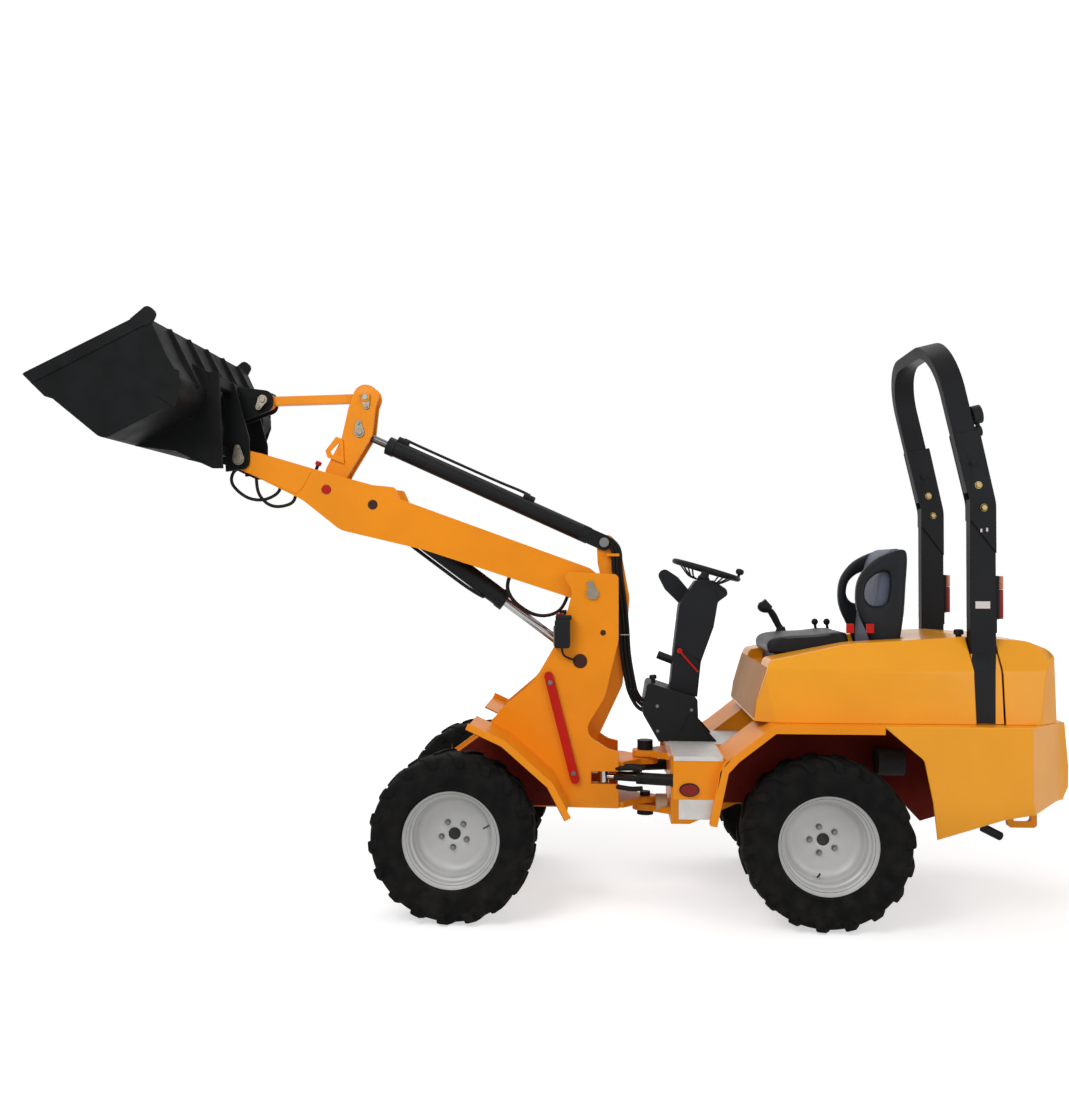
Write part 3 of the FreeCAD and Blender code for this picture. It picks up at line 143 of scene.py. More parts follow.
# Finishes
class Finish(Enum):
    """Every finish on the machine, with a name for its material."""

    ORANGE = "orange_paint"
    GLOSS_PAINTED_LIGHT = "orange_gloss_painted_light"
    BLACK = "black_paint"
    BUCKET = "dark_paint"
    RED = "red_paint"
    RIM = "grey_rim"
    ALUMINIUM = "tread_plate"
    CAST = "cast_grey"
    ZINC = "steel_pin"
    CHROME = "chrome_rod"
    DULL_ROD = "dull_rod"
    TYRE = "tyre_rubber"
    VINYL = "seat_vinyl"
    CLOTH = "seat_painted_sheen"
    PLASTIC = "black_plastic"
    LENS_RED = "lamp_red"
    LENS_AMBER = "lamp_amber"
    HOSE = "hose_rubber"
    ARCH_SHADE = "arch_liner"
    PANEL = "tan_panel"
    BLANK = "blank_label"
    NUT = "grey_steel"
    BRASS = "bush_brass"
    PIN = "painted_hole_shade"
    GOLD = "passivated_bolt"


@dataclass(frozen=True)
class Coat:
    """What one finish looks like.

    Args:
        colour: Base colour in linear light.
        roughness: Mean roughness.
        metallic: Share of bare metal.
        mottle: How far the colour drifts over the surface.
        mottle_scale: Patches per metre of that drift.
        grain: Height of the fine relief in metres.
        grain_scale: Fine relief cells per metre.
        wear: How much the edges are rubbed.
        wear_colour: Colour of a rubbed edge.
        dust: How much dust lies on it.
        clear: Weight of the clear coat.
        leather: Whether the relief is a pebbled hide.
        specular: Strength of the plain reflection.
        sheen: Weight of the soft rim of light on cloth or old vinyl.
        slot: The record's material slot, where it differs from the finish's own name; not used.
    """

    colour: Colour
    roughness: float
    metallic: float = 0.0
    mottle: float = 0.12
    mottle_scale: float = 5.0
    grain: float = 0.00015
    grain_scale: float = 260.0
    wear: float = 0.0
    wear_colour: Colour = (0.35, 0.33, 0.31)
    dust: float = 0.0
    clear: float = 0.0
    leather: bool = False
    specular: float = 0.5
    sheen: float = 0.0
    slot: str = ""


COATS: Dict[Finish, Coat] = {
    Finish.ORANGE: Coat((0.93, 0.300, 0.009), 0.38, mottle=0.10, grain=0.00005, grain_scale=420.0,
                        wear=0.25, wear_colour=(0.76, 0.38, 0.09), dust=0.04, clear=0.05, specular=0.15),
    # Hood, bonnet and ballast: the clear coat is real gloss, but the lighter, yellower colour than ORANGE is
    # painted light, the brighter light that falls on these parts.
    Finish.GLOSS_PAINTED_LIGHT: Coat((0.94, 0.375, 0.010), 0.30, mottle=0.08, grain=0.00005, grain_scale=420.0,
                       wear=0.20, wear_colour=(0.80, 0.42, 0.10), dust=0.03, clear=0.22, specular=0.2,
                       slot="orange_paint"),
    Finish.BLACK: Coat((0.012, 0.0125, 0.014), 0.46, mottle=0.25, grain=0.00012, wear=0.25,
                       wear_colour=(0.06, 0.06, 0.065), dust=0.04, specular=0.10),
    Finish.BUCKET: Coat((0.008, 0.0085, 0.009), 0.55, mottle=0.45, mottle_scale=9.0, grain=0.0003,
                        grain_scale=140.0, wear=0.4, wear_colour=(0.07, 0.065, 0.06), dust=0.03,
                        specular=0.07),
    Finish.RED: Coat((0.52, 0.012, 0.006), 0.42, mottle=0.15, wear=0.3, wear_colour=(0.60, 0.18, 0.10),
                     dust=0.03, specular=0.15),
    Finish.RIM: Coat((0.54, 0.54, 0.535), 0.45, metallic=0.15, mottle=0.12, grain=0.00006, wear=0.2,
                     wear_colour=(0.30, 0.29, 0.28), dust=0.08, specular=0.2),
    Finish.ALUMINIUM: Coat((0.62, 0.61, 0.59), 0.46, metallic=0.30, mottle=0.20, mottle_scale=14.0,
                           dust=0.12),
    Finish.CAST: Coat((0.032, 0.032, 0.034), 0.65, mottle=0.35, grain=0.0006, grain_scale=180.0, dust=0.10,
                      specular=0.12),
    Finish.ZINC: Coat((0.24, 0.215, 0.17), 0.38, metallic=0.9, mottle=0.3, mottle_scale=40.0),
    Finish.CHROME: Coat((0.36, 0.36, 0.36), 0.14, metallic=1.0, mottle=0.05, grain=0.0),
    Finish.DULL_ROD: Coat((0.10, 0.095, 0.09), 0.25, metallic=1.0, mottle=0.1, slot="chrome_rod"),
    Finish.TYRE: Coat((0.0075, 0.0078, 0.0082), 0.80, mottle=0.35, mottle_scale=11.0, grain=0.00035,
                      grain_scale=320.0, wear=0.15, wear_colour=(0.025, 0.025, 0.027), dust=0.04,
                      specular=0.06),
    Finish.VINYL: Coat((0.009, 0.010, 0.013), 0.38, mottle=0.2, grain=0.00030, grain_scale=420.0,
                       wear=0.12, wear_colour=(0.05, 0.053, 0.062), leather=True, specular=0.16),
    # Seat's centre pad: its light blue-grey colour is a painted sheen, the bluish gleam seen on a dark pad.
    Finish.CLOTH: Coat((0.085, 0.100, 0.150), 0.50, mottle=0.2, grain=0.00030, grain_scale=420.0,
                       leather=True, specular=0.30, sheen=0.10, slot="seat_vinyl"),
    Finish.PLASTIC: Coat((0.013, 0.014, 0.016), 0.52, mottle=0.2, grain=0.0002, grain_scale=700.0,
                         wear=0.2, wear_colour=(0.045, 0.045, 0.047), dust=0.04, specular=0.12),
    Finish.LENS_RED: Coat((0.22, 0.010, 0.006), 0.22, mottle=0.08, grain=0.0005, grain_scale=120.0,
                          specular=0.2),
    Finish.LENS_AMBER: Coat((0.42, 0.075, 0.008), 0.18, mottle=0.08, grain=0.0005, grain_scale=120.0,
                            clear=0.3),
    Finish.HOSE: Coat((0.012, 0.011, 0.010), 0.55, mottle=0.25, grain=0.0002, grain_scale=500.0, dust=0.04,
                      specular=0.10),
    # Dark red for the plates inside the wheel arches: painted shade under the fenders, where the real paint
    # is orange.
    Finish.ARCH_SHADE: Coat((0.15, 0.011, 0.006), 0.62, mottle=0.25, dust=0.05, specular=0.1,
                       slot="orange_paint"),
    Finish.PANEL: Coat((0.53, 0.27, 0.11), 0.55, mottle=0.15, dust=0.05, specular=0.2, slot="orange_paint"),
    Finish.BLANK: Coat((0.72, 0.67, 0.65), 0.45, mottle=0.05, grain=0.0, specular=0.2, slot="grey_rim"),
    Finish.NUT: Coat((0.17, 0.17, 0.165), 0.42, metallic=0.75, mottle=0.2, mottle_scale=40.0, dust=0.05,
                     slot="steel_pin"),
    Finish.BRASS: Coat((0.66, 0.51, 0.32), 0.50, mottle=0.2, dust=0.05, slot="steel_pin"),
    Finish.GOLD: Coat((0.32, 0.24, 0.10), 0.38, metallic=0.85, mottle=0.3, mottle_scale=40.0,
                      slot="steel_pin"),
    # Dark red-brown for discs over pin holes and a port: painted shade inside those recesses.
    Finish.PIN: Coat((0.050, 0.018, 0.013), 0.55, mottle=0.3, mottle_scale=30.0, dust=0.04, specular=0.15,
                     slot="steel_pin"),
}
DUST_COLOUR: Colour = (0.33, 0.27, 0.20)


def start_tree(name: str, kind: str, inputs: Dict[str, Tuple[str, object]],
               outputs: Dict[str, str]) -> Tuple:
    """Create a node tree with named sockets.

    Args:
        name: Tree name.
        kind: ShaderNodeTree or GeometryNodeTree.
        inputs: Socket name to (socket type, default).
        outputs: Socket name to socket type.

    Returns:
        The tree, its input node and its output node.
    """
    tree = bpy.data.node_groups.new(name, kind)
    for socket, (form, default) in inputs.items():
        made = tree.interface.new_socket(name=socket, in_out="INPUT", socket_type="NodeSocket" + form)
        if default is not None:
            made.default_value = default
    for socket, form in outputs.items():
        tree.interface.new_socket(name=socket, in_out="OUTPUT", socket_type="NodeSocket" + form)
    return tree, tree.nodes.new("NodeGroupInput"), tree.nodes.new("NodeGroupOutput")


def math_node(tree: Tree, kind: str, a: object, b: object, clamp: bool = False) -> Socket:
    """Add one Math node.

    Args:
        tree: Tree to add to.
        kind: The operation.
        a: First number or socket.
        b: Second number or socket.
        clamp: Whether the result stays between 0 and 1.

    Returns:
        The socket with the result.
    """
    node = tree.nodes.new("ShaderNodeMath")
    node.operation = kind
    node.use_clamp = clamp
    for index, value in enumerate((a, b)):
        if isinstance(value, (int, float)):
            node.inputs[index].default_value = value
        else:
            tree.links.new(value, node.inputs[index])
    return node.outputs[0]


class ShaderGroups:
    """The effects that several finishes share, each built once."""

    def __init__(self) -> None:
        """Build the four groups."""
        self.mottle = self._mottle()
        self.wear = self._wear()
        self.dust = self._dust()
        self.grain = self._grain()

    @staticmethod
    def _noise(tree: Tree, scale: Socket, detail: float) -> bpy.types.Node:
        """Add a noise over object coordinates.

        Args:
            tree: Tree to add to.
            scale: Socket with the cells per metre.
            detail: Octaves of the noise.

        Returns:
            The noise node.
        """
        where = tree.nodes.new("ShaderNodeTexCoord")
        noise = tree.nodes.new("ShaderNodeTexNoise")
        noise.inputs["Detail"].default_value = detail
        tree.links.new(where.outputs["Object"], noise.inputs["Vector"])
        tree.links.new(scale, noise.inputs["Scale"])
        return noise

    @staticmethod
    def _mix(tree: Tree, share: object, a: object, b: object) -> Socket:
        """Add a colour mix.

        Args:
            tree: Tree to add to.
            share: Socket with the second colour's share.
            a: Socket with the first colour.
            b: Socket with the second colour.

        Returns:
            The socket with the mixed colour.
        """
        node = tree.nodes.new("ShaderNodeMix")
        node.data_type = "RGBA"
        tree.links.new(share, node.inputs["Factor"])
        tree.links.new(a, node.inputs["A"])
        tree.links.new(b, node.inputs["B"])
        return node.outputs["Result"]

    def _mottle(self) -> Tree:
        """Slow drift of colour and roughness.

        Returns:
            The group.
        """
        tree, enter, leave = start_tree(
            "slow_mottle", "ShaderNodeTree",
            {"Colour": ("Color", (1, 1, 1, 1)), "Scale": ("Float", 5.0), "Amount": ("Float", 0.1),
             "Roughness": ("Float", 0.4)},
            {"Colour": "Color", "Roughness": "Float"})
        noise = self._noise(tree, enter.outputs["Scale"], 5.0)
        drift = math_node(tree, "SUBTRACT", noise.outputs["Fac"], 0.5)
        scaled = math_node(tree, "MULTIPLY", drift, enter.outputs["Amount"])
        value = math_node(tree, "ADD", math_node(tree, "MULTIPLY", scaled, 2.0), 1.0)
        tint = tree.nodes.new("ShaderNodeVectorMath")
        tint.operation = "SCALE"
        tree.links.new(enter.outputs["Colour"], tint.inputs[0])
        tree.links.new(value, tint.inputs["Scale"])
        tree.links.new(tint.outputs[0], leave.inputs["Colour"])
        rough = math_node(tree, "ADD", enter.outputs["Roughness"], math_node(tree, "MULTIPLY", scaled, -0.9))
        tree.links.new(math_node(tree, "MAXIMUM", rough, 0.04), leave.inputs["Roughness"])
        return tree

    def _wear(self) -> Tree:
        """Rubbed edges, broken up by noise.

        Returns:
            The group.
        """
        tree, enter, leave = start_tree(
            "rubbed_edges", "ShaderNodeTree",
            {"Colour": ("Color", (1, 1, 1, 1)), "Rubbed": ("Color", (0.4, 0.4, 0.4, 1)),
             "Amount": ("Float", 0.3), "Scale": ("Float", 60.0)},
            {"Colour": "Color", "Mask": "Float"})
        bevel = tree.nodes.new("ShaderNodeBevel")
        bevel.samples = 4
        bevel.inputs["Radius"].default_value = 0.004
        geometry = tree.nodes.new("ShaderNodeNewGeometry")
        dot = tree.nodes.new("ShaderNodeVectorMath")
        dot.operation = "DOT_PRODUCT"
        tree.links.new(bevel.outputs["Normal"], dot.inputs[0])
        tree.links.new(geometry.outputs["Normal"], dot.inputs[1])
        bend = math_node(tree, "SUBTRACT", 1.0, dot.outputs["Value"])
        edge = math_node(tree, "MULTIPLY", bend, 9.0, True)
        noise = self._noise(tree, enter.outputs["Scale"], 4.0)
        raised = math_node(tree, "SUBTRACT", noise.outputs["Fac"], 0.42)
        broken = math_node(tree, "MULTIPLY", raised, 6.0, True)
        worn = math_node(tree, "MULTIPLY", edge, broken)
        mask = math_node(tree, "MULTIPLY", worn, enter.outputs["Amount"], True)
        mixed = self._mix(tree, mask, enter.outputs["Colour"], enter.outputs["Rubbed"])
        tree.links.new(mixed, leave.inputs["Colour"])
        tree.links.new(mask, leave.inputs["Mask"])
        return tree

    def _dust(self) -> Tree:
        """Dust that settles on upper faces and low down.

        Returns:
            The group.
        """
        tree, enter, leave = start_tree(
            "settled_dust", "ShaderNodeTree",
            {"Colour": ("Color", (1, 1, 1, 1)), "Dust": ("Color", (0.3, 0.25, 0.2, 1)),
             "Amount": ("Float", 0.1), "Roughness": ("Float", 0.4)},
            {"Colour": "Color", "Roughness": "Float"})
        where = tree.nodes.new("ShaderNodeTexCoord")
        split = tree.nodes.new("ShaderNodeSeparateXYZ")
        tree.links.new(where.outputs["Object"], split.inputs[0])
        facing = tree.nodes.new("ShaderNodeSeparateXYZ")
        tree.links.new(where.outputs["Normal"], facing.inputs[0])
        low = math_node(tree, "SUBTRACT", 1.0, split.outputs["Z"], True)
        up = math_node(tree, "MULTIPLY", facing.outputs["Z"], 0.8, True)
        scale = tree.nodes.new("ShaderNodeValue")
        scale.outputs[0].default_value = 18.0
        noise = self._noise(tree, scale.outputs[0], 6.0)
        raised = math_node(tree, "SUBTRACT", noise.outputs["Fac"], 0.38)
        patch = math_node(tree, "MULTIPLY", raised, 3.0, True)
        mask = math_node(tree, "MULTIPLY", math_node(tree, "ADD", low, up), patch, True)
        mask = math_node(tree, "MULTIPLY", mask, enter.outputs["Amount"], True)
        mixed = self._mix(tree, mask, enter.outputs["Colour"], enter.outputs["Dust"])
        tree.links.new(mixed, leave.inputs["Colour"])
        dulled = math_node(tree, "MULTIPLY", mask, 0.4)
        rough = math_node(tree, "ADD", enter.outputs["Roughness"], dulled, True)
        tree.links.new(rough, leave.inputs["Roughness"])
        return tree

    def _grain(self) -> Tree:
        """Fine relief, either a paint skin or a pebbled hide.

        Returns:
            The group.
        """
        tree, enter, leave = start_tree(
            "fine_grain", "ShaderNodeTree",
            {"Scale": ("Float", 300.0), "Height": ("Float", 0.0001), "Hide": ("Float", 0.0)},
            {"Normal": "Vector"})
        noise = self._noise(tree, enter.outputs["Scale"], 3.0)
        where = tree.nodes.new("ShaderNodeTexCoord")
        cells = tree.nodes.new("ShaderNodeTexVoronoi")
        cells.feature = "DISTANCE_TO_EDGE"
        tree.links.new(where.outputs["Object"], cells.inputs["Vector"])
        tree.links.new(enter.outputs["Scale"], cells.inputs["Scale"])
        pebble = math_node(tree, "MULTIPLY", cells.outputs["Distance"], 2.5, True)
        hide = math_node(tree, "MULTIPLY", pebble, enter.outputs["Hide"])
        rest = math_node(tree, "SUBTRACT", 1.0, enter.outputs["Hide"])
        skin = math_node(tree, "MULTIPLY", noise.outputs["Fac"], rest)
        relief = math_node(tree, "ADD", hide, skin)
        height = math_node(tree, "MULTIPLY", relief, enter.outputs["Height"])
        bump = tree.nodes.new("ShaderNodeBump")
        bump.inputs["Distance"].default_value = 1.0
        tree.links.new(height, bump.inputs["Height"])
        tree.links.new(bump.outputs["Normal"], leave.inputs["Normal"])
        return tree


class Palette:
    """Builds each finish's material once and hands it out."""

    def __init__(self) -> None:
        """Prepare the groups and an empty store."""
        self.groups = ShaderGroups()
        self.made: Dict[Finish, Material] = {}

    def get(self, finish: Finish) -> Material:
        """Return the material of a finish."""
        if finish not in self.made:
            self.made[finish] = self._build(finish, COATS[finish])
        return self.made[finish]

    def _build(self, finish: Finish, coat: Coat) -> Material:
        """Wire one coat into a Principled material.

        Args:
            finish: The finish.
            coat: Its values.

        Returns:
            The material.
        """
        material = bpy.data.materials.new("finish_" + finish.value)
        material.use_nodes = True
        tree = material.node_tree
        shader = tree.nodes["Principled BSDF"]

        def group(node_tree: Tree, **values: object) -> bpy.types.Node:
            """Place a group with its own values.

            Args:
                node_tree: The group.
                values: Input names and their values.

            Returns:
                The group's node.
            """
            node = tree.nodes.new("ShaderNodeGroup")
            node.node_tree = node_tree
            for key, value in values.items():
                node.inputs[key].default_value = value
            return node

        mottle = group(self.groups.mottle, Colour=(*coat.colour, 1), Scale=coat.mottle_scale,
                       Amount=coat.mottle,
                       Roughness=coat.roughness)
        colour = mottle.outputs["Colour"]
        roughness = mottle.outputs["Roughness"]
        if coat.wear:
            wear = group(self.groups.wear, Rubbed=(*coat.wear_colour, 1), Amount=coat.wear,
                         Scale=WEAR_SCALE)
            tree.links.new(colour, wear.inputs["Colour"])
            colour = wear.outputs["Colour"]
        if coat.dust:
            dust = group(self.groups.dust, Dust=(*DUST_COLOUR, 1), Amount=coat.dust)
            tree.links.new(colour, dust.inputs["Colour"])
            tree.links.new(roughness, dust.inputs["Roughness"])
            colour = dust.outputs["Colour"]
            roughness = dust.outputs["Roughness"]
        tree.links.new(colour, shader.inputs["Base Color"])
        tree.links.new(roughness, shader.inputs["Roughness"])
        shader.inputs["Metallic"].default_value = coat.metallic
        shader.inputs["Coat Weight"].default_value = coat.clear
        shader.inputs["Coat Roughness"].default_value = COAT_ROUGHNESS
        shader.inputs["Specular IOR Level"].default_value = coat.specular
        shader.inputs["Sheen Weight"].default_value = coat.sheen
        if coat.grain:
            grain = group(self.groups.grain, Scale=coat.grain_scale, Height=coat.grain,
                          Hide=float(coat.leather))
            tree.links.new(grain.outputs["Normal"], shader.inputs["Normal"])
        return material


# Mesh helpers
def link(name: str, mesh: bpy.types.Mesh) -> Piece:
    """Put a mesh in the scene under a name.

    Args:
        name: Object name.
        mesh: The mesh.

    Returns:
        The object.
    """
    made = bpy.data.objects.new(name, mesh)
    bpy.context.scene.collection.objects.link(made)
    return made


def shade(mesh: bpy.types.Mesh, sharp: float = SHARP) -> None:
    """Make faces smooth up to a crease angle in radians."""
    mesh.shade_smooth()
    mesh.set_sharp_from_angle(angle=sharp)


def to_mesh(name: str, shape: Shape, sharp: float = SHARP) -> bpy.types.Mesh:
    """Use up a bmesh and return its mesh.

    Args:
        name: Mesh name.
        shape: The bmesh, freed afterwards.
        sharp: Crease angle in radians.

    Returns:
        The shaded mesh.
    """
    mesh = bpy.data.meshes.new(name)
    shape.to_mesh(mesh)
    shape.free()
    shade(mesh, sharp)
    return mesh


def from_bmesh(name: str, shape: Shape, sharp: float = SHARP) -> Piece:
    """Turn a bmesh into an object whose faces point outwards.

    Args:
        name: Object name.
        shape: The bmesh, freed afterwards.
        sharp: Crease angle in radians.

    Returns:
        The object.
    """
    bmesh.ops.recalc_face_normals(shape, faces=shape.faces)
    return link(name, to_mesh(name, shape, sharp))


def flatten_shading(piece: Piece) -> None:
    """Let large flat faces set the normals beside rounded edges.

    Args:
        piece: The mesh object to change.
    """
    modifier = piece.modifiers.new("flat_faces", "WEIGHTED_NORMAL")
    modifier.mode = "FACE_AREA"
    modifier.weight = 100
    modifier.keep_sharp = True


def round_edges(shape: Shape, width: float) -> None:
    """Round a bmesh's sharp edges, leaving out those too short for it.

    Args:
        shape: The bmesh to change.
        width: Bevel width in metres.
    """
    shortest = 2.2 * width
    creases = [e for e in shape.edges if len(e.link_faces) == 2 and e.calc_face_angle(0.0) > SHARP]
    edges = [e for e in creases if e.calc_length() > shortest]
    if edges:
        bmesh.ops.bevel(shape, geom=edges, offset=width, segments=2, profile=0.5, affect="EDGES",
                        clamp_overlap=False)


def bridge(shape: Shape, rings: Sequence[Ring], closed: bool = False) -> None:
    """Join neighbouring rings of vertices with four-sided faces.

    Args:
        shape: The bmesh that holds them.
        rings: Rings with equally many vertices.
        closed: Whether the last ring meets the first.
    """
    following = list(rings[1:]) + (list(rings[:1]) if closed else [])
    for a, b in zip(rings, following):
        for i in range(len(a)):
            j = (i + 1) % len(a)
            shape.faces.new((a[i], a[j], b[j], b[i]))


def close_ends(shape: Shape, rings: Sequence[Ring]) -> None:
    """Put a face on the first and on the last ring."""
    shape.faces.new(rings[0])
    shape.faces.new(rings[-1][::-1])


def circle(radius: float, height: float, sides: int) -> List[Point]:
    """Return points in metres round the Z axis, from sizes in millimetres."""
    turns = [2 * math.pi * i / sides for i in range(sides)]
    return [(radius * MM * math.cos(turn), radius * MM * math.sin(turn), height * MM) for turn in turns]


def prism(name: str, ends: Sequence[Sequence[Vector]], width: float) -> Piece:
    """Join two equal outlines into one piece with rounded edges.

    Args:
        name: Object name.
        ends: The two outlines as frame points.
        width: Edge round in millimetres.

    Returns:
        The piece.
    """
    shape = bmesh.new()
    rings = [[shape.verts.new(point) for point in end] for end in ends]
    bridge(shape, rings)
    close_ends(shape, rings)
    bmesh.ops.recalc_face_normals(shape, faces=shape.faces)
    round_edges(shape, width * MM)
    return from_bmesh(name, shape)


def plate(name: str, outline: Sequence[Pair], y0: float, y1: float, width: float = 1.5) -> Piece:
    """Extrude a side outline across the machine.

    Args:
        name: Object name.
        outline: Corners as (x, z) in layout millimetres.
        y0: Right-hand face.
        y1: Left-hand face.
        width: Edge round in millimetres.

    Returns:
        The plate.
    """
    return prism(name, [[place(x, y, z) for x, z in outline] for y in (y1, y0)], width)


def slab(name: str, profile: Sequence[Pair], x0: float, x1: float, width: float = 1.5) -> Piece:
    """Extrude an outline that lies across the machine along it.

    Args:
        name: Object name.
        profile: Corners as (y, z) in layout millimetres.
        x0: Rear end.
        x1: Front end.
        width: Edge round in millimetres.

    Returns:
        The slab.
    """
    return prism(name, [[place(x, y, z) for y, z in profile] for x in (x0, x1)], width)


def framed_plate(name: str, outer: Sequence[Vector], inner: Sequence[Vector], y0: float, y1: float) -> Piece:
    """Make a plate with a window.

    Args:
        name: Object name.
        outer: Corners as layout points.
        inner: The window's corners, as many of them.
        y0: Right-hand face.
        y1: Left-hand face.

    Returns:
        The plate.
    """
    shape = bmesh.new()
    loops = ((outer, y0), (outer, y1), (inner, y1), (inner, y0))
    bridge(shape, [[shape.verts.new(place(p.x, y, p.z)) for p in loop] for loop, y in loops], closed=True)
    bmesh.ops.recalc_face_normals(shape, faces=shape.faces)
    round_edges(shape, 1.2 * MM)
    return from_bmesh(name, shape)


def block(name: str, low: Point, high: Point, width: float = 2.0) -> Piece:
    """Make a box with rounded edges between its lowest and highest layout corners."""
    corners = [(low[0], low[2]), (high[0], low[2]), (high[0], high[2]), (low[0], high[2])]
    return plate(name, corners, low[1], high[1], width)


def lathe(name: str, profile: Sequence[Pair], segments: int = 96, sharp: float = SHARP) -> Piece:
    """Revolve a closed profile about the Y axis at the origin.

    Args:
        name: Object name.
        profile: Radii and Y in millimetres.
        segments: Faces round the axis.
        sharp: Crease angle in radians.

    Returns:
        The turned part.
    """
    shape = bmesh.new()
    rings = []
    for step in range(segments):
        turn = 2 * math.pi * step / segments
        east, north = MM * math.sin(turn), MM * math.cos(turn)
        rings.append([shape.verts.new((r * east, y * MM, r * north)) for r, y in profile])
    bridge(shape, rings, closed=True)
    return from_bmesh(name, shape, sharp)


def rod(name: str, start: Vector, end: Vector, profile: Sequence[Pair]) -> Piece:
    """Revolve a (distance, radius) profile about the line from start to end.

    Args:
        name: Object name.
        start: Layout point where distance is zero.
        end: Layout point that sets the direction.
        profile: Distances along the line and radii, in millimetres.

    Returns:
        The turned part, closed at both ends.
    """
    along = (end - start).normalized()
    side = along.orthogonal().normalized()
    other = along.cross(side)
    shape = bmesh.new()
    rings = []
    for distance, radius in profile:
        centre = start + along * distance
        ring = []
        for step in range(ROD_SIDES):
            turn = 2 * math.pi * step / ROD_SIDES
            point = centre + (side * math.cos(turn) + other * math.sin(turn)) * max(radius, SMALLEST)
            ring.append(shape.verts.new(place(*point)))
        rings.append(ring)
    bridge(shape, rings)
    close_ends(shape, rings)
    return from_bmesh(name, shape)


def drum(name: str, x: float, z: float, y0: float, y1: float, radius: float, edge: float = 1.5) -> Piece:
    """Make a disc or pin across the machine with eased edges.

    Args:
        name: Object name.
        x: Centre along the machine.
        z: Centre above the ground.
        y0: Face where it starts.
        y1: Face where it ends.
        radius: Its radius in millimetres.
        edge: Chamfer at both faces.

    Returns:
        The disc.
    """
    depth = abs(y1 - y0)
    profile = [(0, radius - edge), (edge, radius), (depth - edge, radius), (depth, radius - edge)]
    return rod(name, Vector((x, y0, z)), Vector((x, y1, z)), profile)


def round_line(name: str, points: Sequence[Spot], radius: float, around: int, along: int) -> bpy.types.Curve:
    """Make a smooth round curve along layout points.

    Args:
        name: Name of the curve.
        points: Control points in millimetres.
        radius: Radius in millimetres.
        around: Fineness round the line.
        along: Fineness along each span.

    Returns:
        The curve.
    """
    curve = bpy.data.curves.new(name, "CURVE")
    curve.dimensions = "3D"
    curve.bevel_depth = radius * MM
    curve.bevel_resolution = around
    curve.use_fill_caps = True
    curve.resolution_u = along
    spline = curve.splines.new("NURBS")
    spline.points.add(len(points) - 1)
    for target, point in zip(spline.points, points):
        target.co = (*place(*point), 1.0)
    spline.order_u = 3
    spline.use_endpoint_u = True
    return curve


def pipe(name: str, points: Sequence[Spot], radius: float) -> Piece:
    """Make a round bar along layout points.

    Args:
        name: Object name.
        points: Layout points in millimetres.
        radius: Bar radius in millimetres.

    Returns:
        A mesh object.
    """
    holder = bpy.data.objects.new(name + "_line", round_line(name, points, radius, 4, 10))
    bpy.context.scene.collection.objects.link(holder)
    bpy.context.view_layer.update()
    mesh = bpy.data.meshes.new_from_object(holder.evaluated_get(bpy.context.evaluated_depsgraph_get()))
    bpy.data.objects.remove(holder)
    shape = bmesh.new()
    shape.from_mesh(mesh)
    bmesh.ops.remove_doubles(shape, verts=shape.verts, dist=1e-6)
    return from_bmesh(name, shape, math.radians(60))


def smooth_loop(corners: Sequence[Pair], count: int = 48) -> List[Pair]:
    """Return evenly counted points on a smooth closed line through corners.

    Args:
        corners: The corners to pass through.
        count: How many points.

    Returns:
        The points.
    """
    made = []
    total = len(corners)
    for step in range(count):
        position = step * total / count
        index = int(position)
        t = position - index
        a, b, c, d = (Vector(corners[(index + k) % total]) for k in (-1, 0, 1, 2))
        square = (2 * a - 5 * b + 4 * c - d) * t * t
        cube = (3 * b - a - 3 * c + d) * t ** 3
        point = 0.5 * (2 * b + (c - a) * t + square + cube)
        made.append((point.x, point.y))
    return made


def padded_ring(name: str, outer: Sequence[Pair], inner: Sequence[Pair], y0: float, y1: float) -> Piece:
    """Make a stuffed ring between two closed side outlines.

    Args:
        name: Object name.
        outer: Corners of the outer line, (x, z) in layout millimetres.
        inner: Corners of the hole, starting at the same place and turning the same way.
        y0: Right-hand face.
        y1: Left-hand face.

    Returns:
        The ring.
    """
    sides, fullness = 20, 0.7
    shape = bmesh.new()
    rings = []
    for (ox, oz), (ix, iz) in zip(smooth_loop(outer), smooth_loop(inner)):
        ring = []
        for step in range(sides):
            turn = 2 * math.pi * step / sides
            across, deep = (math.copysign(abs(v) ** fullness, v) for v in (math.cos(turn), math.sin(turn)))
            share = 0.5 + 0.5 * across
            y = (y0 + y1) / 2 + deep * (y1 - y0) / 2
            ring.append(shape.verts.new(place(ix + (ox - ix) * share, y, iz + (oz - iz) * share)))
        rings.append(ring)
    bridge(shape, rings, closed=True)
    return from_bmesh(name, shape, math.radians(80))


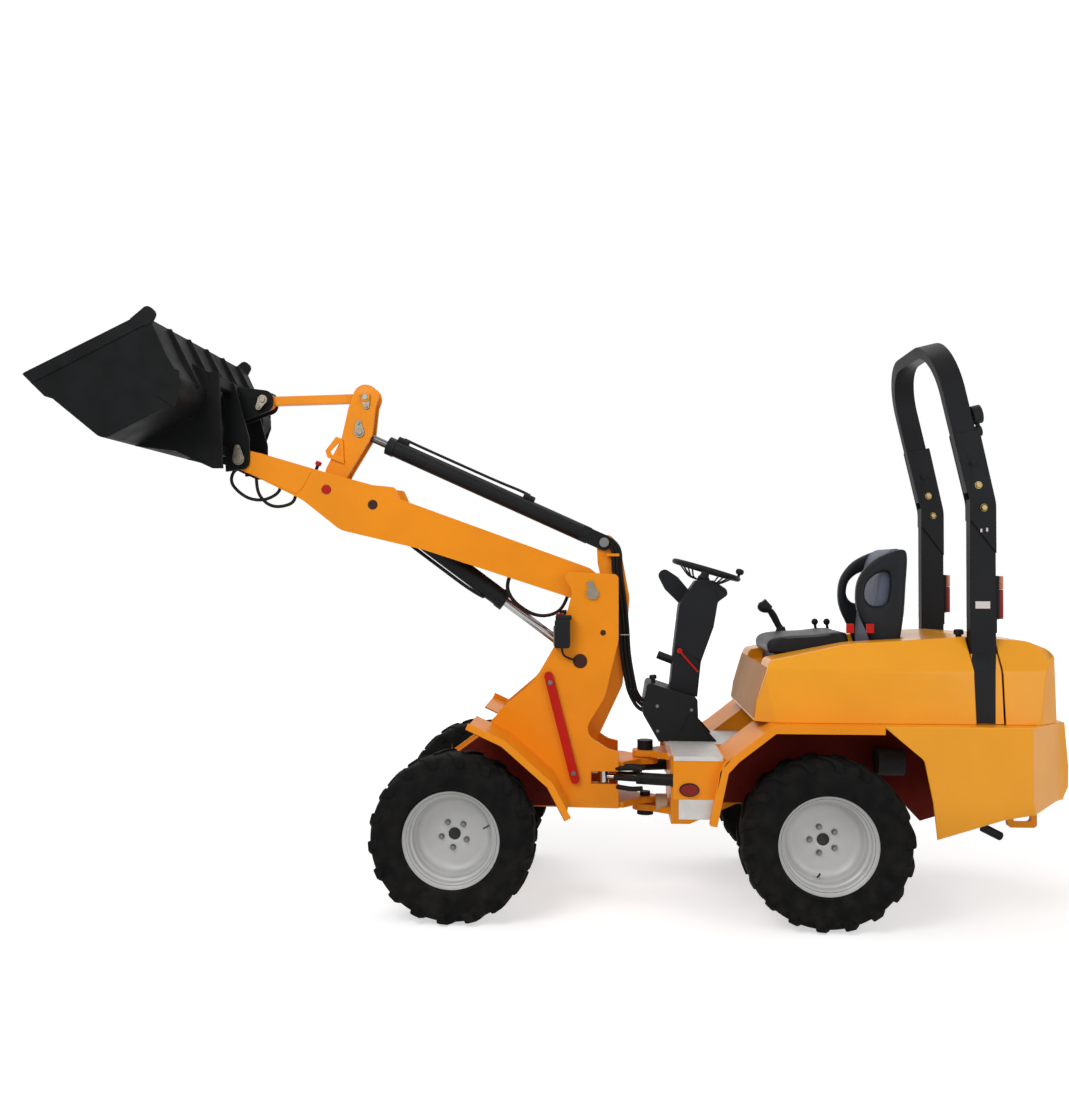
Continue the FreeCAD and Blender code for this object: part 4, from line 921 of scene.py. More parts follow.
def pillow(name: str, outline: Sequence[Pair], y0: float, y1: float, edge: float) -> Piece:
    """Make a soft block across the machine from a closed side outline.

    Args:
        name: Object name.
        outline: Corners as (x, z) in layout millimetres.
        y0: Right-hand face.
        y1: Left-hand face.
        edge: Round at both ends in millimetres.

    Returns:
        The pillow.
    """
    loop = smooth_loop(outline, 56)
    steps = 24
    middle = Vector((sum(x for x, _ in loop) / len(loop), sum(z for _, z in loop) / len(loop)))
    reach = sum((Vector(point) - middle).length for point in loop) / len(loop)
    shape = bmesh.new()
    rings = []
    for step in range(steps + 1):
        t = -1 + 2 * step / steps
        y = (y0 + y1) / 2 + (y1 - y0) / 2 * t
        left = max(0.0, edge - (1 - abs(t)) * (y1 - y0) / 2)
        shrink = edge - math.sqrt(max(edge * edge - left * left, 0.0))
        size = 1 - shrink / reach
        scaled = [middle + (Vector(point) - middle) * size for point in loop]
        rings.append([shape.verts.new(place(point.x, y, point.y)) for point in scaled])
    bridge(shape, rings)
    close_ends(shape, rings)
    return from_bmesh(name, shape, math.radians(60))


def join(name: str, pieces: Iterable[Piece]) -> Piece:
    """Join plain mesh objects into one, keeping each face's shading.

    Args:
        name: Name of the result.
        pieces: The objects, used up.

    Returns:
        The joined object.
    """
    pieces = list(pieces)
    for piece in pieces:
        piece.data = piece.data.copy()
    with bpy.context.temp_override(active_object=pieces[0], object=pieces[0], selected_objects=pieces,
                                   selected_editable_objects=pieces):
        bpy.ops.object.join()
    pieces[0].name = name
    pieces[0].data.name = name
    return pieces[0]


def mirrored(name: str, piece: Piece) -> Piece:
    """Copy a mesh object to the other side of the machine.

    Args:
        name: Name of the copy.
        piece: The object to copy.

    Returns:
        The copy.
    """
    shape = bmesh.new()
    shape.from_mesh(piece.data)
    bmesh.ops.scale(shape, vec=(1, -1, 1), verts=shape.verts)
    bmesh.ops.reverse_faces(shape, faces=shape.faces)
    return link(name, to_mesh(name, shape))


def both(name: str, piece: Piece) -> Piece:
    """Join a left-hand piece with its right-hand copy."""
    return join(name, [piece, mirrored(name + "_right", piece)])


# Geometry node repeats
class Repeater:
    """Geometry Nodes that copy one small mesh round a circle or onto points."""

    def __init__(self) -> None:
        """Build both trees."""
        self.ring_tree = self._ring()
        self.points_tree = self._points()

    @staticmethod
    def _end(tree: Tree, enter: bpy.types.Node, leave: bpy.types.Node, instances: Socket) -> None:
        """Finish a tree with Realize Instances and Set Material.

        Args:
            tree: Tree to finish.
            enter: Its input node.
            leave: Its output node.
            instances: Socket with the copies.
        """
        real = tree.nodes.new("GeometryNodeRealizeInstances")
        paint = tree.nodes.new("GeometryNodeSetMaterial")
        tree.links.new(instances, real.inputs["Geometry"])
        tree.links.new(real.outputs["Geometry"], paint.inputs["Geometry"])
        tree.links.new(enter.outputs["Material"], paint.inputs["Material"])
        tree.links.new(paint.outputs["Geometry"], leave.inputs["Geometry"])

    def _ring(self) -> Tree:
        """Copies of the incoming mesh turned in equal steps about the Y axis.

        Returns:
            The tree.
        """
        tree, enter, leave = start_tree("ring_of_copies", "GeometryNodeTree", {
            "Geometry": ("Geometry", None), "Count": ("Int", 18), "First Turn": ("Float", 0.0),
            "Material": ("Material", None)}, {"Geometry": "Geometry"})
        points = tree.nodes.new("GeometryNodePoints")
        tree.links.new(enter.outputs["Count"], points.inputs["Count"])
        index = tree.nodes.new("GeometryNodeInputIndex")
        share = math_node(tree, "DIVIDE", index.outputs[0], enter.outputs["Count"])
        round_turn = math_node(tree, "MULTIPLY", share, 2 * math.pi)
        turn = math_node(tree, "ADD", round_turn, enter.outputs["First Turn"])
        angles = tree.nodes.new("ShaderNodeCombineXYZ")
        tree.links.new(turn, angles.inputs["Y"])
        copies = tree.nodes.new("GeometryNodeInstanceOnPoints")
        tree.links.new(points.outputs[0], copies.inputs["Points"])
        tree.links.new(enter.outputs["Geometry"], copies.inputs["Instance"])
        tree.links.new(angles.outputs[0], copies.inputs["Rotation"])
        self._end(tree, enter, leave, copies.outputs["Instances"])
        return tree

    def _points(self) -> Tree:
        """Copies of a fastener on every vertex of the incoming mesh.

        Returns:
            The tree.
        """
        tree, enter, leave = start_tree("copies_on_points", "GeometryNodeTree", {
            "Geometry": ("Geometry", None), "Fastener": ("Object", None),
            "Turn": ("Vector", (0.0, 0.0, 0.0)), "Material": ("Material", None)}, {"Geometry": "Geometry"})
        source = tree.nodes.new("GeometryNodeObjectInfo")
        tree.links.new(enter.outputs["Fastener"], source.inputs["Object"])
        copies = tree.nodes.new("GeometryNodeInstanceOnPoints")
        tree.links.new(enter.outputs["Geometry"], copies.inputs["Points"])
        tree.links.new(source.outputs["Geometry"], copies.inputs["Instance"])
        tree.links.new(enter.outputs["Turn"], copies.inputs["Rotation"])
        self._end(tree, enter, leave, copies.outputs["Instances"])
        return tree

    @staticmethod
    def _run(name: str, source: Piece, tree: Tree, values: Dict[str, object]) -> Piece:
        """Evaluate a tree on an object.

        Args:
            name: Name of the result.
            source: The object, used up.
            tree: The tree.
            values: Input names and their values.

        Returns:
            The plain mesh that the tree gives.
        """
        modifier = source.modifiers.new("repeat", "NODES")
        modifier.node_group = tree
        for item in tree.interface.items_tree:
            if item.in_out == "INPUT" and item.name in values:
                modifier[item.identifier] = values[item.name]
        bpy.context.view_layer.update()
        graph = bpy.context.evaluated_depsgraph_get()
        mesh = bpy.data.meshes.new_from_object(source.evaluated_get(graph))
        bpy.data.objects.remove(source)
        mesh.name = name
        shade(mesh)
        return link(name, mesh)

    def ring(self, name: str, source: Piece, count: int, first: float, material: Material) -> Piece:
        """Copy a mesh round the Y axis.

        Args:
            name: Name of the result.
            source: The mesh to copy, used up.
            count: How many copies.
            first: Turn of the first copy in radians.
            material: Finish of the copies.

        Returns:
            The ring as one mesh.
        """
        values = {"Count": count, "First Turn": first, "Material": material}
        return self._run(name, source, self.ring_tree, values)

    def on_points(self, name: str, fastener: Piece, points: Sequence[Point], turn: Point,
                  material: Material) -> Piece:
        """Put a fastener, drawn along +Z at the origin, on each layout point.

        Args:
            name: Name of the result.
            fastener: The mesh to copy, used up.
            points: Layout points in millimetres.
            turn: Euler angles in radians.
            material: Finish of the copies.

        Returns:
            All the copies as one mesh.
        """
        mesh = bpy.data.meshes.new(name + "_points")
        mesh.from_pydata([place(*p) for p in points], [], [])
        carrier = link(name + "_carrier", mesh)
        values = {"Fastener": fastener, "Turn": turn, "Material": material}
        made = self._run(name, carrier, self.points_tree, values)
        bpy.data.objects.remove(fastener)
        return made


def hex_head(radius: float, height: float) -> Piece:
    """Make a hexagon bolt head on its washer, drawn along +Z.

    Args:
        radius: Radius over the corners in millimetres.
        height: Height in millimetres.

    Returns:
        The head.
    """
    shape = bmesh.new()
    washer = [(0.0, 1.28), (0.22, 1.28)]
    head = [(0.2, 1.0), (0.85, 1.0), (1.0, 0.86)]
    for levels, sides in ((washer, 24), (head, 6)):
        rings = [[shape.verts.new(point) for point in circle(radius * r, height * z, sides)]
                 for z, r in levels]
        bridge(shape, rings)
        close_ends(shape, rings)
    return from_bmesh("hex_head", shape)


class Workshop:
    """What every sub-assembly needs: the frame, the palette and the repeater."""

    def __init__(self, frame: Dict) -> None:
        """Keep the frame and build the shared tools.
        """
        self.nodes: Dict[str, Piece] = frame["nodes"]
        self.body_of = {node: body for body, members in frame["record"]["behaviour"]["bodies"].items()
                        for node in members}
        self.palette = Palette()
        self.repeater = Repeater()
        self.count = 0

    def has(self, node: str) -> bool:
        """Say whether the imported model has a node."""
        return node in self.nodes

    def publish(self, piece: Piece, body: str, finish: Finish, replaces: Sequence[str] = ()) -> Piece:
        """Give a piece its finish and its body.

        Args:
            piece: The finished object.
            body: Body that carries it.
            finish: Its finish.
            replaces: Solids that it stands for.

        Returns:
            The piece.
        """
        piece.data.materials.clear()
        piece.data.materials.append(self.palette.get(finish))
        if piece.type == "MESH":
            flatten_shading(piece)
        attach(piece, body)
        if replaces:
            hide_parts(*replaces)
        self.count += 1
        LOG.info("%s rides on %s", piece.name, body)
        return piece

    def hose(self, name: str, body: str, points: Sequence[Spot], radius: float, length: float,
             replaces: Sequence[str] = ()) -> Piece:
        """Args:
            name: Object name.
            body: Body that carries both ends.
            points: Control points in layout millimetres.
            radius: Hose radius in millimetres.
            length: Real length in millimetres; not used.
            replaces: Solids that it stands for.

        Returns:
            The hose, as a curve.
        """
        made = bpy.data.objects.new(name, round_line(name, points, radius, 5, 12))
        bpy.context.scene.collection.objects.link(made)
        self.publish(made, body, Finish.HOSE, replaces)
        return made

    def paint(self, node: str, finish: Finish) -> None:
        """Give a solid its finish and leave its shape as it is.

        Args:
            node: The solid.
            finish: Its finish.
        """
        if self.has(node):
            target = self.nodes[node]
            target.data.materials.clear()
            target.data.materials.append(self.palette.get(finish))

    def rounded(self, node: str, finish: Finish, width: float = 2.0) -> Optional[Piece]:
        """Stand a copy with rounded edges in for a solid.

        Args:
            node: The solid.
            finish: Its finish.
            width: Edge round in millimetres.

        Returns:
            The copy, or None where the model has no such solid.
        """
        if not self.has(node):
            return None
        shape = bmesh.new()
        shape.from_mesh(self.nodes[node].data)
        bmesh.ops.remove_doubles(shape, verts=shape.verts, dist=WELD)
        bmesh.ops.join_triangles(shape, faces=shape.faces, angle_face_threshold=FLAT,
                                 angle_shape_threshold=math.pi)
        round_edges(shape, width * MM)
        bmesh.ops.triangulate(shape, faces=[f for f in shape.faces if len(f.verts) > 4])
        mesh = to_mesh(node + "_rounded", shape)
        low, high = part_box(node)
        for vertex in mesh.vertices:
            for axis in range(3):
                if not low[axis] - SLACK < vertex.co[axis] < high[axis] + SLACK:
                    LOG.warning("%s keeps its plain solid", node)
                    bpy.data.meshes.remove(mesh)
                    self.paint(node, finish)
                    return None
        return self.publish(link(node + "_rounded", mesh), self.body_of[node], finish, [node])

    def bolts(self, name: str, body: str, points: Sequence[Point], turn: Point, radius: float = 9.0,
              height: float = 8.0, finish: Finish = Finish.ZINC) -> Piece:
        """Put hexagon bolts on layout points.

        Args:
            name: Object name.
            body: Body that carries them.
            points: Layout points in millimetres.
            turn: Euler angles in radians.
            radius: Head radius in millimetres.
            height: Head height in millimetres.
            finish: Their finish.

        Returns:
            All the bolts as one piece.
        """
        material = self.palette.get(finish)
        made = self.repeater.on_points(name, hex_head(radius, height), points, turn, material)
        return self.publish(made, body, finish)


@dataclass
class Assembly:
    """A sub-assembly that puts most of its pieces on one body."""

    shop: Workshop
    home: ClassVar[str] = ""

    def coat(self, *rows: Tuple[str, Finish, float]) -> None:
        """Round solids, each given with its finish and its edge width."""
        for node, finish, width in rows:
            self.shop.rounded(node, finish, width)

    def put(self, piece: Piece, finish: Finish, replaces: Sequence[str] = ()) -> None:
        """Publish a piece on the sub-assembly's own body."""
        self.shop.publish(piece, self.home, finish, replaces)


# Wheels
@dataclass
class Wheels(Assembly):
    """Four lugged tyres on dished rims.  Sizes in millimetres."""

    track: float = 1000.0
    radius: float = 375.0
    front_x: float = 875.0
    rear_x: float = -765.0
    lug_count: int = 18
    lug_edge: float = 2.8
    shoulder: float = 320.0
    bolt_circle: float = 60.0
    hub_hole: float = 28.0
    nut_count: int = 5
    nut_inset: float = 17.5
    nut_radius: float = 11.0
    nut_height: float = 15.0
    valve_radius: float = 4.0
    first_nut: Dict[str, float] = field(default_factory=lambda: {"rear": 18.0, "front": 30.0})
    valve_turn: Dict[str, float] = field(default_factory=lambda: {"rear": 170.0, "front": 285.0})

    def carcass(self) -> Piece:
        """Make the sidewalls with their rings, and the tread's crown between the lugs.

        Returns:
            The carcass at the origin.
        """
        side = [(201, 92), (212, 96), (214.3, 102), (216.5, 111), (222, 116), (226, 120.5), (231, 121.5),
                (234, 119.5), (246, 123), (262, 125.6), (282, 126.6), (286, 128.2), (290, 128.2),
                (294, 126.4), (312, 124.6), (328, 121), (345, 116), (355, 106), (362.5, 88), (365, 40),
                (365.5, 0)]
        far = [(r, -y) for r, y in reversed(side[:-1])]
        inner = [(330, -90), (330, 90)]
        return lathe("tyre_carcass", side + far + inner, 120, math.radians(40))

    def lug(self, side: int) -> Piece:
        """One tread lug from beside the centre line down over the shoulder.

        Args:
            side: 1 for the left half of the tread, -1 for the right.

        Returns:
            The lug at the top of the tyre.
        """
        stations = [(18, 28, 374.4, 5, 349, 5), (17, 31, 374.8, 20, 349, 20), (3, 34, 374.4, 46, 349, 46),
                    (-16, 38, 373.0, 82, 348, 80), (-33, 42, 369.5, 112, 343, 100),
                    (-40, 43, 362.5, 127, 340, 108), (-46, 40, 346.0, 130.6, 330, 114),
                    (-50, 34, 326.0, 129.6, 318, 119)]
        shape = bmesh.new()
        rings = []
        for middle, width, top_r, top_y, base_r, base_y in stations:
            ring = []
            for offset, r, y in ((-width / 2 - 6, base_r, base_y), (-width / 2, top_r, top_y),
                                 (width / 2, top_r, top_y), (width / 2 + 6, base_r, base_y)):
                turn = (middle + offset) / self.radius
                ring.append(shape.verts.new((r * MM * math.sin(turn), side * y * MM,
                                             r * MM * math.cos(turn))))
            rings.append(ring)
        bridge(shape, rings)
        close_ends(shape, rings)
        bmesh.ops.recalc_face_normals(shape, faces=shape.faces)
        tops = [e for e in shape.edges if e.calc_face_angle(0.0) > math.radians(40)
                and min(v.co.length for v in e.verts) > self.shoulder * MM]
        bmesh.ops.bevel(shape, geom=tops, offset=self.lug_edge * MM, segments=2, profile=0.5, affect="EDGES")
        return from_bmesh("lug", shape, math.radians(45))

    def tyre(self) -> Piece:
        """Make the whole tyre.

        Returns:
            The tyre at the origin.
        """
        material = self.shop.palette.get(Finish.TYRE)
        half_step = math.pi / self.lug_count
        left = self.shop.repeater.ring("lugs_left", self.lug(1), self.lug_count, 0.0, material)
        right = self.shop.repeater.ring("lugs_right", self.lug(-1), self.lug_count, half_step, material)
        return join("tyre_master", [self.carcass(), left, right])

    def rim(self) -> Piece:
        """Make the dished rim.

        Returns:
            The rim at the origin, outer face towards +Y.
        """
        outer = [(199, 90), (209, 93), (212.4, 101), (214.5, 108), (219, 110.5), (222, 107.5),
                 (221.5, 104.5), (217.5, 107.2), (213.5, 105.5), (209, 98), (200, 90.5), (194, 84),
                 (192, 70), (189.5, 62), (181, 55), (178.5, 40), (177, 25), (170, 16), (166.5, 4), (162, -6),
                 (151, -15), (139, -19.5), (131, -20), (92, -20.5), (84, -17.5), (40, -17.5), (35, -20),
                 (28, -22)]
        inner = [(28, -34), (150, -32), (166, -26), (173, -12), (181, 8), (185, 40), (188, 50), (190, -30),
                 (194, -60), (200, -92), (210, -94), (215, -106), (221, -107), (219, -110.5), (213, -108),
                 (207, -97), (199, -94)]
        return lathe("rim_master", outer + inner, 120, math.radians(28))

    def dress(self) -> None:
        """Place tyres, rims, nuts and valves on all four wheels."""
        tyre = self.tyre()
        rim = self.rim()
        for end, x in (("front", self.front_x), ("rear", self.rear_x)):
            for side, label in SIDES:
                corner = f"{end}_{label}"
                body = "wheel_" + corner
                centre = place(x, side * self.track / 2, self.radius)
                tread = self.copy(tyre, f"tyre_{corner}_tread", centre, False)
                self.shop.publish(tread, body, Finish.TYRE, ["tyre_" + corner])
                dish = self.copy(rim, f"rim_{corner}_dish", centre, side < 0)
                self.shop.publish(dish, body, Finish.RIM, ["rim_" + corner])
                self.hub(body, end, x, side)
        bpy.data.objects.remove(tyre)
        bpy.data.objects.remove(rim)

    @staticmethod
    def copy(master: Piece, name: str, centre: Vector, turn: bool) -> Piece:
        """Copy a master to a wheel centre.

        Args:
            master: The mesh object at the origin.
            name: Name of the copy.
            centre: Wheel centre as a frame point.
            turn: Whether it faces right.

        Returns:
            The copy.
        """
        mesh = master.data.copy()
        if turn:
            mesh.transform(Matrix.Rotation(math.pi, 4, "Z"))
        mesh.transform(Matrix.Translation(centre))
        mesh.name = name
        return link(name, mesh)

    def hub(self, body: str, end: str, x: float, side: int) -> None:
        """Add the wheel nuts, the dark hub end and the tyre valve.

        Args:
            body: The wheel's body.
            end: front or rear.
            x: Wheel centre along the machine.
            side: 1 for left, -1 for right.
        """
        middle = side * self.track / 2
        y = side * (self.track / 2 - self.nut_inset)
        first = math.radians(self.first_nut[end])
        turns = [first + 2 * math.pi * i / self.nut_count for i in range(self.nut_count)]
        points = [(x + self.bolt_circle * math.sin(turn), y, self.radius + self.bolt_circle * math.cos(turn))
                  for turn in turns]
        self.shop.bolts(body + "_nuts", body, points, TO_LEFT if side > 0 else TO_RIGHT, self.nut_radius,
                        self.nut_height, Finish.NUT)
        cap = drum(body + "_hub", x, self.radius, y - side * 26, y - side * 6, self.hub_hole - 0.5)
        self.shop.publish(cap, body, Finish.CAST)
        angle = math.radians(self.valve_turn[end])
        reach = [(165, -8), (158, 10), (150, 22), (140, 30)]
        line = [(x + r * math.sin(angle), middle + side * dy, self.radius + r * math.cos(angle))
                for r, dy in reach]
        stem = pipe(body + "_valve", line, self.valve_radius)
        self.shop.publish(stem, body, Finish.NUT if end == "front" else Finish.PLASTIC)


# Boom geometry
@dataclass
class Linkage:
    """Pin centres of the boom group, in layout millimetres."""

    boom_pivot: Vector = field(default_factory=lambda: Vector((255, 0, 1455)))
    boom_length: float = 1850.0
    boom_angle: float = 20.7
    lift_lower: Vector = field(default_factory=lambda: Vector((315, 0, 1130)))
    tilt_base: Vector = field(default_factory=lambda: Vector((200, 0, 1700)))
    bucket_tip: Vector = field(default_factory=lambda: Vector((2815, 0, 2450)))
    hitch_top: Vector = field(default_factory=lambda: Vector((1899.8, 0, 2414.1)))
    bucket_angle: float = 38.8
    lift_eye: Pair = (1157.0, 22.0)
    lever_eye: Pair = (1399.0, 11.0)
    lever_arm: float = 325.0
    lever_lean: float = 96.0

    def on_boom(self, along: float, above: float) -> Vector:
        """Return a layout point given along and above the boom's centre line."""
        point = polar(self.boom_pivot, along, self.boom_angle)
        return polar(point, above, self.boom_angle + 90)

    def nose(self) -> Vector:
        """Return the pin at the boom's nose."""
        return self.on_boom(self.boom_length, 0)

    def lift_upper(self) -> Vector:
        """Return the lift cylinder's upper pin."""
        return self.on_boom(*self.lift_eye)

    def lever_pivot(self) -> Vector:
        """Return the tilt lever's pivot."""
        return self.on_boom(*self.lever_eye)

    def lever_cylinder(self) -> Vector:
        """Return the tilt cylinder's pin on the lever."""
        return polar(self.lever_pivot(), self.lever_arm, self.boom_angle + self.lever_lean)

    def lever_point(self, along: float, forward: float = 0.0) -> Vector:
        """Return a point on the tilt lever from its pivot."""
        point = polar(self.lever_pivot(), along, self.boom_angle + 90)
        return polar(point, forward, self.boom_angle)

    def on_bucket(self, back: float, up: float) -> Vector:
        """Return a point back from the cutting edge and up from the bucket floor."""
        edge = polar(self.bucket_tip, back, 180 + self.bucket_angle)
        return polar(edge, up, 90 + self.bucket_angle)


@dataclass
class BoomGroup(Assembly):
    """Boom, tilt linkage, cylinders, hitch and bucket.  Sizes in millimetres."""

    link: Linkage = field(default_factory=Linkage)
    hose_radius: float = 8.0
    foot_length: float = 465.0
    nose_lengths: Pair = (385.0, 330.0)
    nose_side: float = 104.0
    hard_line: float = 7.0
    cheek_inner: float = 650.4
    cheek_outer: float = 655.0

    def dress(self) -> None:
        """Dress everything in front of the tower."""
        self.boom()
        self.nose_hoses()
        self.lever()
        self.cylinders()
        self.hitch()
        self.bucket()

    def boom_plate(self, name: str, corners: Sequence[Pair], y0: float, y1: float,
                   width: float = 1.5) -> Piece:
        """Make a plate from corners given along and above the boom.

        Args:
            name: Object name.
            corners: The corners in millimetres.
            y0: Right-hand face.
            y1: Left-hand face.
            width: Edge round in millimetres.

        Returns:
            The plate.
        """
        points = [self.link.on_boom(a, b) for a, b in corners]
        return plate(name, [(p.x, p.z) for p in points], y0, y1, width)

    def keeper(self, name: str, body: str, pin: Vector, face: float, lean: float,
               radius: float = 25.0) -> None:
        """Put a pin head with its teardrop keeper plate and bolt on both sides.

        Args:
            name: Base name.
            body: Body that carries it.
            pin: Pin centre.
            face: Half width of the faces it lies on.
            lean: Angle of the keeper's tail in degrees.
            radius: Pin head radius.
        """
        tail = polar(pin, radius * 2.3, lean)
        outline = []
        arcs = ((pin, radius + 6, lean + 60, lean + 300), (tail, 15.0, lean - 75, lean + 75))
        for centre, r, a0, a1 in arcs:
            for i in range(13):
                p = polar(centre, r, a0 + (a1 - a0) * i / 12)
                outline.append((p.x, p.z))
        leaf = plate(name + "_leaf", outline, face, face + 8, 1.2)
        head = drum(name + "_head", pin.x, pin.z, face + 6, face + 15, radius - 4, 2.0)
        self.shop.publish(both(name, join(name + "_half", [leaf, head])), body, Finish.ZINC)
        for side, label in SIDES:
            turn = TO_LEFT if side > 0 else TO_RIGHT
            self.shop.bolts(f"{name}_bolt_{label}", body, [(tail.x, side * (face + 8), tail.z)], turn, 8, 7)

    def boom(self) -> None:
        """Rounded boom with doubler plates at the nose and discs at its pins: the dark lift disc is painted
        shade in the pin's hole, the lever's disc is a red cap.
        """
        self.shop.rounded("boom", Finish.ORANGE, 2.0)
        self.shop.paint("boom_pins", Finish.ZINC)
        nose = [(1500, 66), (1560, 78), (1780, 56), (1880, 42), (1893, 20), (1893, -42), (1760, -48),
                (1590, -60), (1530, -60), (1512, -20)]
        doubler = self.boom_plate("nose_half", nose, 129.5, 134, 1.6)
        self.shop.publish(both("boom_nose_doubler", doubler), "boom", Finish.ORANGE)
        # The lift pin's dark disc is painted shade in its hole; the lever pin's red disc is its cap.
        for label, point, finish in (("lift", self.link.lift_upper(), Finish.PIN),
                                     ("lever", self.link.lever_pivot(), Finish.RED)):
            disc = drum(f"boom_{label}_disc", point.x, point.z, 122.2, 124.5, 23.0, 0.8)
            self.shop.publish(both(f"boom_{label}_discs", disc), "boom", finish)
        self.keeper("boom_nose_keeper", "boom", self.link.nose(), 150 + 16 + 2, 84, 24)
        route = [(408, -62), (408, -103), (388, -145), (347, -176), (293, -194), (235, -203), (179, -191),
                 (133, -158), (109, -113), (109, -62)]
        for label, y in (("inner", 68), ("outer", 94)):
            points = [self.link.on_boom(a, b) + Vector((0, y, 0)) for a, b in route]
            self.shop.hose(f"boom_hose_{label}", "boom", points, self.hose_radius, self.foot_length,
                           ["boom_hoses"] if label == "inner" else [])

    def nose_hoses(self) -> None:
        """Two hoses that hang under the boom's nose, from its plate to the tool's couplings."""
        outer = [(1798, 1974), (1798, 1950), (1867, 1911), (1945, 1913), (2008, 1951), (2049, 2001),
                 (2034, 2058), (2012, 2064)]
        inner = [(1721, 1936), (1721, 1899), (1798, 1875), (1857, 1886), (1898, 1928), (1912, 1961),
                 (1918, 2012), (1918, 2032)]
        for label, route, length in zip(("outer", "inner"), (outer, inner), self.nose_lengths):
            points = [(x, self.nose_side, z) for x, z in route]
            self.shop.hose(f"nose_hose_{label}", "boom", points, self.hose_radius, length)

    def lever(self) -> None:
        """Tilt lever with its keepers and tool rest, the link bar and the boom's tap."""
        self.shop.rounded("tilt_lever", Finish.ORANGE, 2.0)
        self.shop.rounded("tilt_link", Finish.ORANGE, 2.0)
        self.keeper("lever_top_keeper", "tilt_lever", self.link.lever_point(497), 50, 262, 20)
        self.keeper("lever_cylinder_keeper", "tilt_lever", self.link.lever_cylinder(), 50, 86, 20)
        outer = [(150, 70), (178, 92), (262, 66), (262, 30), (150, -20)]
        inner = [(166, 48), (184, 68), (236, 44), (236, 36), (176, 8)]
        points = [self.link.lever_point(a, f) for a, f in outer]
        hole = [self.link.lever_point(a, f) for a, f in inner]
        rest = framed_plate("lever_rest", points, hole, 50.5, 62)
        self.shop.publish(rest, "tilt_lever", Finish.ORANGE)
        foot, top, cap = (self.link.on_boom(1495, up) + Vector((0, 80, 0)) for up in (74, 106, 128))
        self.shop.publish(rod("tap_stem", foot, top, [(0, 8), (32, 8)]), "boom", Finish.PLASTIC)
        handle = rod("tap_cap", top, cap, [(0, 11), (3, 15), (18, 15), (22, 11)])
        self.shop.publish(handle, "boom", Finish.RED)

    def cylinders(self) -> None:
        """Cylinder barrels, rods, ports and hard lines."""
        for node in ("lift_cylinder_barrel", "tilt_cylinder_barrel"):
            self.shop.paint(node, Finish.BLACK)
        self.shop.paint("lift_cylinder_rod", Finish.CHROME)
        self.shop.paint("tilt_cylinder_rod", Finish.DULL_ROD)
        base, end = self.link.tilt_base, self.link.lever_cylinder()
        along = (end - base).normalized()
        up = Vector((-along.z, 0, along.x))
        if up.z < 0:
            up = -up
        for label, distance in (("rear", 430.0), ("front", 1120.0)):
            port = base + along * distance + up * 48
            body = rod(f"tilt_port_{label}", port - along * 30, port + along * 30,
                       [(0, 13), (3, 17), (57, 17), (60, 13)])
            self.shop.publish(body, "tilt_barrel", Finish.BLACK)
        line = [base + along * d + up * h
                for d, h in ((430, 62), (470, 66), (600, 60), (900, 60), (1080, 60), (1120, 62))]
        self.shop.publish(pipe("tilt_hard_line", line, self.hard_line), "tilt_barrel", Finish.BLACK)
        upper, lower = self.link.lift_upper(), self.link.lift_lower
        along = (lower - upper).normalized()
        down = Vector((along.z, 0, -along.x))
        if down.z > 0:
            down = -down
        for offset in (-20, 20):
            line = [upper + along * d + down * h + Vector((0, offset, 0))
                    for d, h in ((160, 46), (200, 58), (420, 58), (640, 58), (700, 46))]
            made = pipe(f"lift_hard_line_{offset + 20}", line, self.hard_line)
            self.shop.publish(made, "lift_barrel", Finish.BLACK)

    def hitch(self) -> None:
        """Quick hitch with the keepers of its upper pin."""
        self.shop.rounded("quick_hitch", Finish.BUCKET, 2.0)
        self.keeper("hitch_top_keeper", "bucket", self.link.hitch_top, 64.5, -60, 18)

    def bucket(self) -> None:
        """Worn bucket shell with its strips and patches."""
        self.shop.rounded("bucket", Finish.BUCKET, 2.0)
        self.trim()

    def trim(self) -> None:
        """Wear strips and patches on both bucket cheeks."""
        for side, label in SIDES:
            y0, y1 = span(side, self.cheek_inner, self.cheek_outer)
            strip = [self.link.on_bucket(b, u) for b, u in ((14, 14), (58, 4), (142, 170), (104, 190))]
            piece = plate(f"cheek_strip_{label}", [(p.x, p.z) for p in strip], y0, y1, 1.2)
            self.shop.publish(piece, "bucket", Finish.BUCKET)
            corners = [(2188, 2488), (2087, 2455), (2083, 2365), (2108, 2294), (2200, 2348)]
            patch = plate(f"cheek_patch_{label}", corners, y0, y1 + (1.5 if side > 0 else 0), 1.5)
            self.shop.publish(patch, "bucket", Finish.BUCKET)


# Front body
@dataclass(frozen=True)
class TowerHoses:
    """Three hoses side by side from the tower to the console.  Sizes in millimetres."""

    side: float = 34.0
    spacing: float = 18.0
    radius: float = 9.4
    length: float = 652.0


